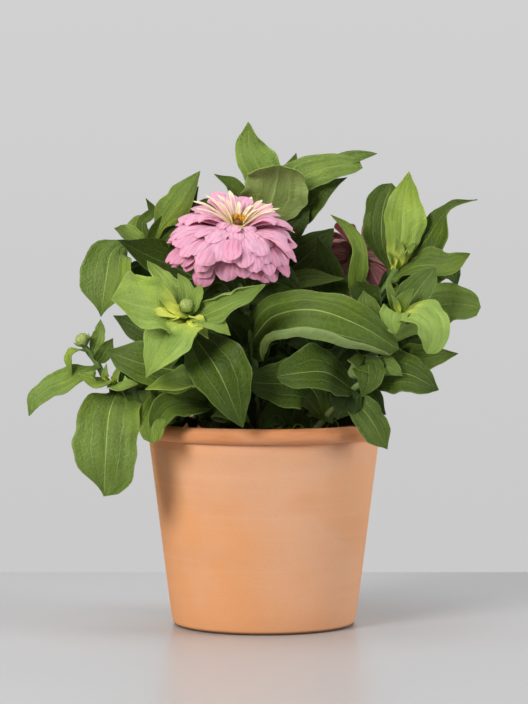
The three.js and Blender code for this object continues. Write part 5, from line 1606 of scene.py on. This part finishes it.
def add_petals(context, bloom, first, last, name, core_outline, tones, *materials):
    """A bloom's petals from one ring up to another, with the core that they stand in."""
    blooms = context.scene.zinnia_bloom
    matrix = stand(bloom)
    blank = blank_blade(blooms.across, blooms.along)
    s, t = spread(blank, lambda x: x)
    blades = []
    for row, level, angle, tilt, stretch, number in petals_of(bloom, first, last):
        def draw(k):
            return jitter(1.7 * number + 0.37 * k)

        points = petal_points(row, angle, tilt, stretch, draw, s, t)
        blades.append(shaped(blank, moved(points, matrix), tones(level, draw)))
    petals = thickened(joined(blades, name + "_sheets", *materials), blooms.thickness, under=1)
    core = turned(rounds(core_outline), CORE_SIDES)
    core.data.transform(matrix)
    core.data.materials.append(bpy.data.materials[materials[0]])
    whole = joined([petals, core], name, *materials)
    discard(blank)
    return whole


class ZINNIA_OT_petals(bpy.types.Operator):
    """Shapes the rings of petals of both blooms from one flat blade"""

    bl_idname = "zinnia.petals"
    bl_label = "Petals"

    def execute(self, context):
        bloom = MAIN_BLOOM
        low = -CORE_DEPTH * bloom.core

        def pink_tones(level, draw):
            # The second tone is painted shade, deepest on the outer, lower rings that lie under the others.
            return (0.25 + 0.14 * level + 0.2 * draw(8), 0.22 - 0.05 * level + 0.1 * draw(9), 0.35)

        def cream_tones(level, draw):
            return (0.35 + 0.3 * draw(8), 0.15 + 0.12 * draw(9), 0.7)

        def faded_tones(level, draw):
            return (0.4 + 0.35 * draw(8), 0.4 + 0.3 * draw(9), 0.4)

        shoulder = bloom.shoulder
        outline = [(7, low + 0.2), (8.6, low + 1.4), (8.6, shoulder - 3), (6.5, shoulder - 0.2),
                   (1, shoulder)]
        pink = add_petals(context, bloom, 0, bloom.pink, "main_bloom_petals", outline, pink_tones,
                          "pink_petal", "pink_underside")
        settled(pink, "pink_petals", "main_petals")
        outline = [(3.8, shoulder + 0.2), (4, shoulder + 0.8), (3.4, bloom.top - 0.3), (1, bloom.top)]
        cream = add_petals(context, bloom, bloom.pink, len(bloom.rings), "main_bloom_cream_petals", outline,
                           cream_tones, "cream_petal", "cream_petal")
        settled(cream, "cream_petals", "main_inner_petals")
        bloom = FADED_BLOOM
        low = -CORE_DEPTH * bloom.core
        outline = [(5, low + 0.2), (6.6, low + 1.4), (6.6, 0), (4.5, 2.8), (1, 3)]
        faded = add_petals(context, bloom, 0, len(bloom.rings), "faded_bloom_petals", outline, faded_tones,
                           "faded_petal", "faded_petal")
        settled(faded, "faded_petals", "faded_petals")
        return {"FINISHED"}


def floret_model(height):
    """A floret: a slender tube that opens into five turned-back lobes."""
    take()
    bpy.ops.mesh.primitive_circle_add(vertices=10, radius=0.28 * MM, fill_type="NOTHING")
    piece = bpy.context.object
    with edit_mode("EDGE"):
        for rise, grow in ((0.45 * height, 1.3), (0.35 * height, 1.5), (0.16 * height, 1.9)):
            widen(rise * MM, grow)
    top = max(vertex.co.z for vertex in piece.data.vertices)
    for vertex in piece.data.vertices:
        place = round(math.atan2(vertex.co.y, vertex.co.x) / (2 * math.pi) * 10)
        if vertex.co.z > top - 0.01 * MM and place % 2:
            vertex.co.x *= LOBE_TUCK
            vertex.co.y *= LOBE_TUCK
            vertex.co.z -= 0.15 * height * MM
    return thickened(piece, 0.14 * MM)


class ZINNIA_OT_florets(bpy.types.Operator):
    """Sets the small florets on the domes in the middle of the blooms"""

    bl_idname = "zinnia.florets"
    bl_label = "Florets"

    def execute(self, context):
        discs = ((MAIN_BLOOM, MAIN_BLOOM.top + 0.3, "main_bloom_florets", "gold_floret", "disc_eye",
                  "golden_florets", "main_disc"),
                 (FADED_BLOOM, FADED_BLOOM.shoulder + 0.3, "faded_bloom_florets", "brown_floret",
                  "brown_floret", "brown_florets", "faded_disc"))
        for bloom, bottom, name, finish, eye, slot, node in discs:
            disc = bloom.disc
            matrix = stand(bloom)
            floret = floret_model(0.75 * disc.height)
            places = []
            for k in range(disc.florets):
                turn = GOLDEN_TURN * k
                share = 0.92 * math.sqrt((k + 0.5) / disc.florets)
                x, y = share * math.cos(turn), share * math.sin(turn)
                if -y > disc.open:
                    continue
                spot = Vector((disc.radius * x, disc.radius * y, bottom + 0.1 * disc.height)) * MM
                size = 0.85 + 0.2 * share + 0.1 * jitter(k)
                places.append(matrix @ Matrix.Translation(spot) @ upright((0.55 * x, 0.55 * y, 1))
                              @ Matrix.Scale(size, 4))
            florets = scattered(floret, places, name, finish)
            discard(floret)
            outline = [(wide * disc.radius, bottom + high * disc.height)
                       for wide, high in ((1, 0), (0.95, 0.2), (0.6, 0.45), (0.15, 0.52))]
            dome = turned(rounds(outline), CORE_SIDES)
            dome.data.transform(matrix)
            take(dome)
            bpy.ops.object.shade_smooth()
            settled(florets, slot, node)
            settled(joined([dome], name.replace("florets", "eye"), eye), slot, node)
        return {"FINISHED"}


# ---- Stage ----


def soft_lamp(name, place, target, size, power, warmth):
    """A large soft lamp that shines at a target and isn't seen itself."""
    take()
    bpy.ops.object.light_add(type="AREA", location=place)
    lamp = bpy.context.object
    lamp.name = name
    lamp.rotation_euler = (Vector(target) - Vector(place)).to_track_quat("-Z", "Y").to_euler()
    lamp.data.shape = "DISK"
    lamp.data.size = size
    lamp.data.energy = power
    lamp.data.color = warmth
    lamp.visible_camera = False


class ZINNIA_OT_stage(bpy.types.Operator):
    """Sets the table, the wall, the soft lamps and the camera"""

    bl_idname = "zinnia.stage"
    bl_label = "Stage"

    def execute(self, context):
        stage = context.scene.zinnia_stage
        take()
        width, depth, thick = 2.4, 1.1, 0.03
        bpy.ops.mesh.primitive_cube_add(size=1, location=(0, stage.table_edge - depth / 2, -thick / 2),
                                        scale=(width, depth, thick))
        table = named(bpy.context.object, "table")
        bpy.ops.object.transform_apply(location=True, scale=True)
        apply_modifier(table, "BEVEL", width=3 * MM, segments=3)
        bpy.ops.mesh.primitive_plane_add(size=12, location=(0, 0, -0.75))
        ground = named(bpy.context.object, "ground")
        bpy.ops.mesh.primitive_plane_add(size=9, location=(0, stage.wall_back, 1.2),
                                         rotation=(math.radians(90), 0, 0))
        wall = named(bpy.context.object, "wall")
        bpy.ops.object.transform_apply(location=True, rotation=True)
        for piece, finish in ((table, "table"), (ground, "wall"), (wall, "wall")):
            piece.data.materials.append(bpy.data.materials[finish])
        middle = (0, 0, 0.17)
        soft_lamp("key", (-1.2, -1.5, 0.98), middle, 0.9, stage.key_power, (1, 0.985, 0.96))
        soft_lamp("fill", (1.5, -0.35, 0.6), middle, 1.0, stage.fill_power, (0.97, 0.985, 1))
        soft_lamp("top", (-0.2, -0.1, 1.5), middle, 1.0, stage.top_power, (1, 1, 1))
        world = bpy.data.worlds.new("studio")
        world.use_nodes = True
        sky = world.node_tree.nodes["Background"]
        sky.inputs["Color"].default_value = (0.62, 0.625, 0.63, 1)
        sky.inputs["Strength"].default_value = 0.24
        context.scene.world = world
        bpy.ops.object.camera_add(location=(0, -stage.distance, stage.eye_level),
                                  rotation=(math.radians(90) - stage.pitch, 0, 0))
        camera = bpy.context.object
        camera.data.lens = stage.lens
        camera.data.sensor_width = 36
        context.scene.camera = camera
        context.scene.view_settings.view_transform = "Standard"
        return {"FINISHED"}


class ZINNIA_PT_panel(bpy.types.Panel):
    """Lists the plant's sizes and colours, and the buttons that model it"""

    bl_idname = "ZINNIA_PT_panel"
    bl_label = "Potted Common Zinnia"
    bl_space_type = "VIEW_3D"
    bl_region_type = "UI"
    bl_category = "Zinnia"

    def draw(self, context):
        self.layout.operator("zinnia.materials")
        for title, settings, operators in GROUPS:
            box = self.layout.box()
            box.label(text=title)
            group = getattr(context.scene, settings)
            for key in group.bl_rna.properties.keys():
                if key not in ("rna_type", "name"):
                    box.prop(group, key)
            for operator in operators:
                box.operator(operator)


GROUPS = (
    ("Pot", "zinnia_pot", ("zinnia.pot",)),
    ("Soil", "zinnia_soil", ("zinnia.soil",)),
    ("Stems", "zinnia_stem", ("zinnia.stems", "zinnia.buds")),
    ("Leaves", "zinnia_leaf", ("zinnia.leaves",)),
    ("Blooms", "zinnia_bloom", ("zinnia.petals", "zinnia.florets")),
    ("Stage", "zinnia_stage", ("zinnia.stage",)),
)
SETTINGS = {"zinnia_pot": PotSettings, "zinnia_soil": SoilSettings, "zinnia_leaf": LeafSettings,
            "zinnia_stem": StemSettings, "zinnia_bloom": BloomSettings, "zinnia_stage": StageSettings}
OPERATORS = (ZINNIA_OT_materials, ZINNIA_OT_pot, ZINNIA_OT_soil, ZINNIA_OT_stems, ZINNIA_OT_leaves,
             ZINNIA_OT_buds, ZINNIA_OT_petals, ZINNIA_OT_florets, ZINNIA_OT_stage)


def register():
    for kind in (*SETTINGS.values(), *OPERATORS, ZINNIA_PT_panel):
        bpy.utils.register_class(kind)
    for key, kind in SETTINGS.items():
        setattr(bpy.types.Scene, key, bpy.props.PointerProperty(type=kind))


def unregister():
    for key in SETTINGS:
        delattr(bpy.types.Scene, key)
    for kind in (ZINNIA_PT_panel, *reversed(OPERATORS), *SETTINGS.values()):
        bpy.utils.unregister_class(kind)


def main():
    """Models the plant on its frame."""
    register()
    bpy.ops.zinnia.materials()
    bpy.ops.zinnia.pot()
    bpy.ops.zinnia.soil()
    bpy.ops.zinnia.stems()
    bpy.ops.zinnia.leaves()
    bpy.ops.zinnia.buds()
    bpy.ops.zinnia.petals()
    bpy.ops.zinnia.florets()
    bpy.ops.zinnia.stage()


if __name__ == "__main__":
    main()
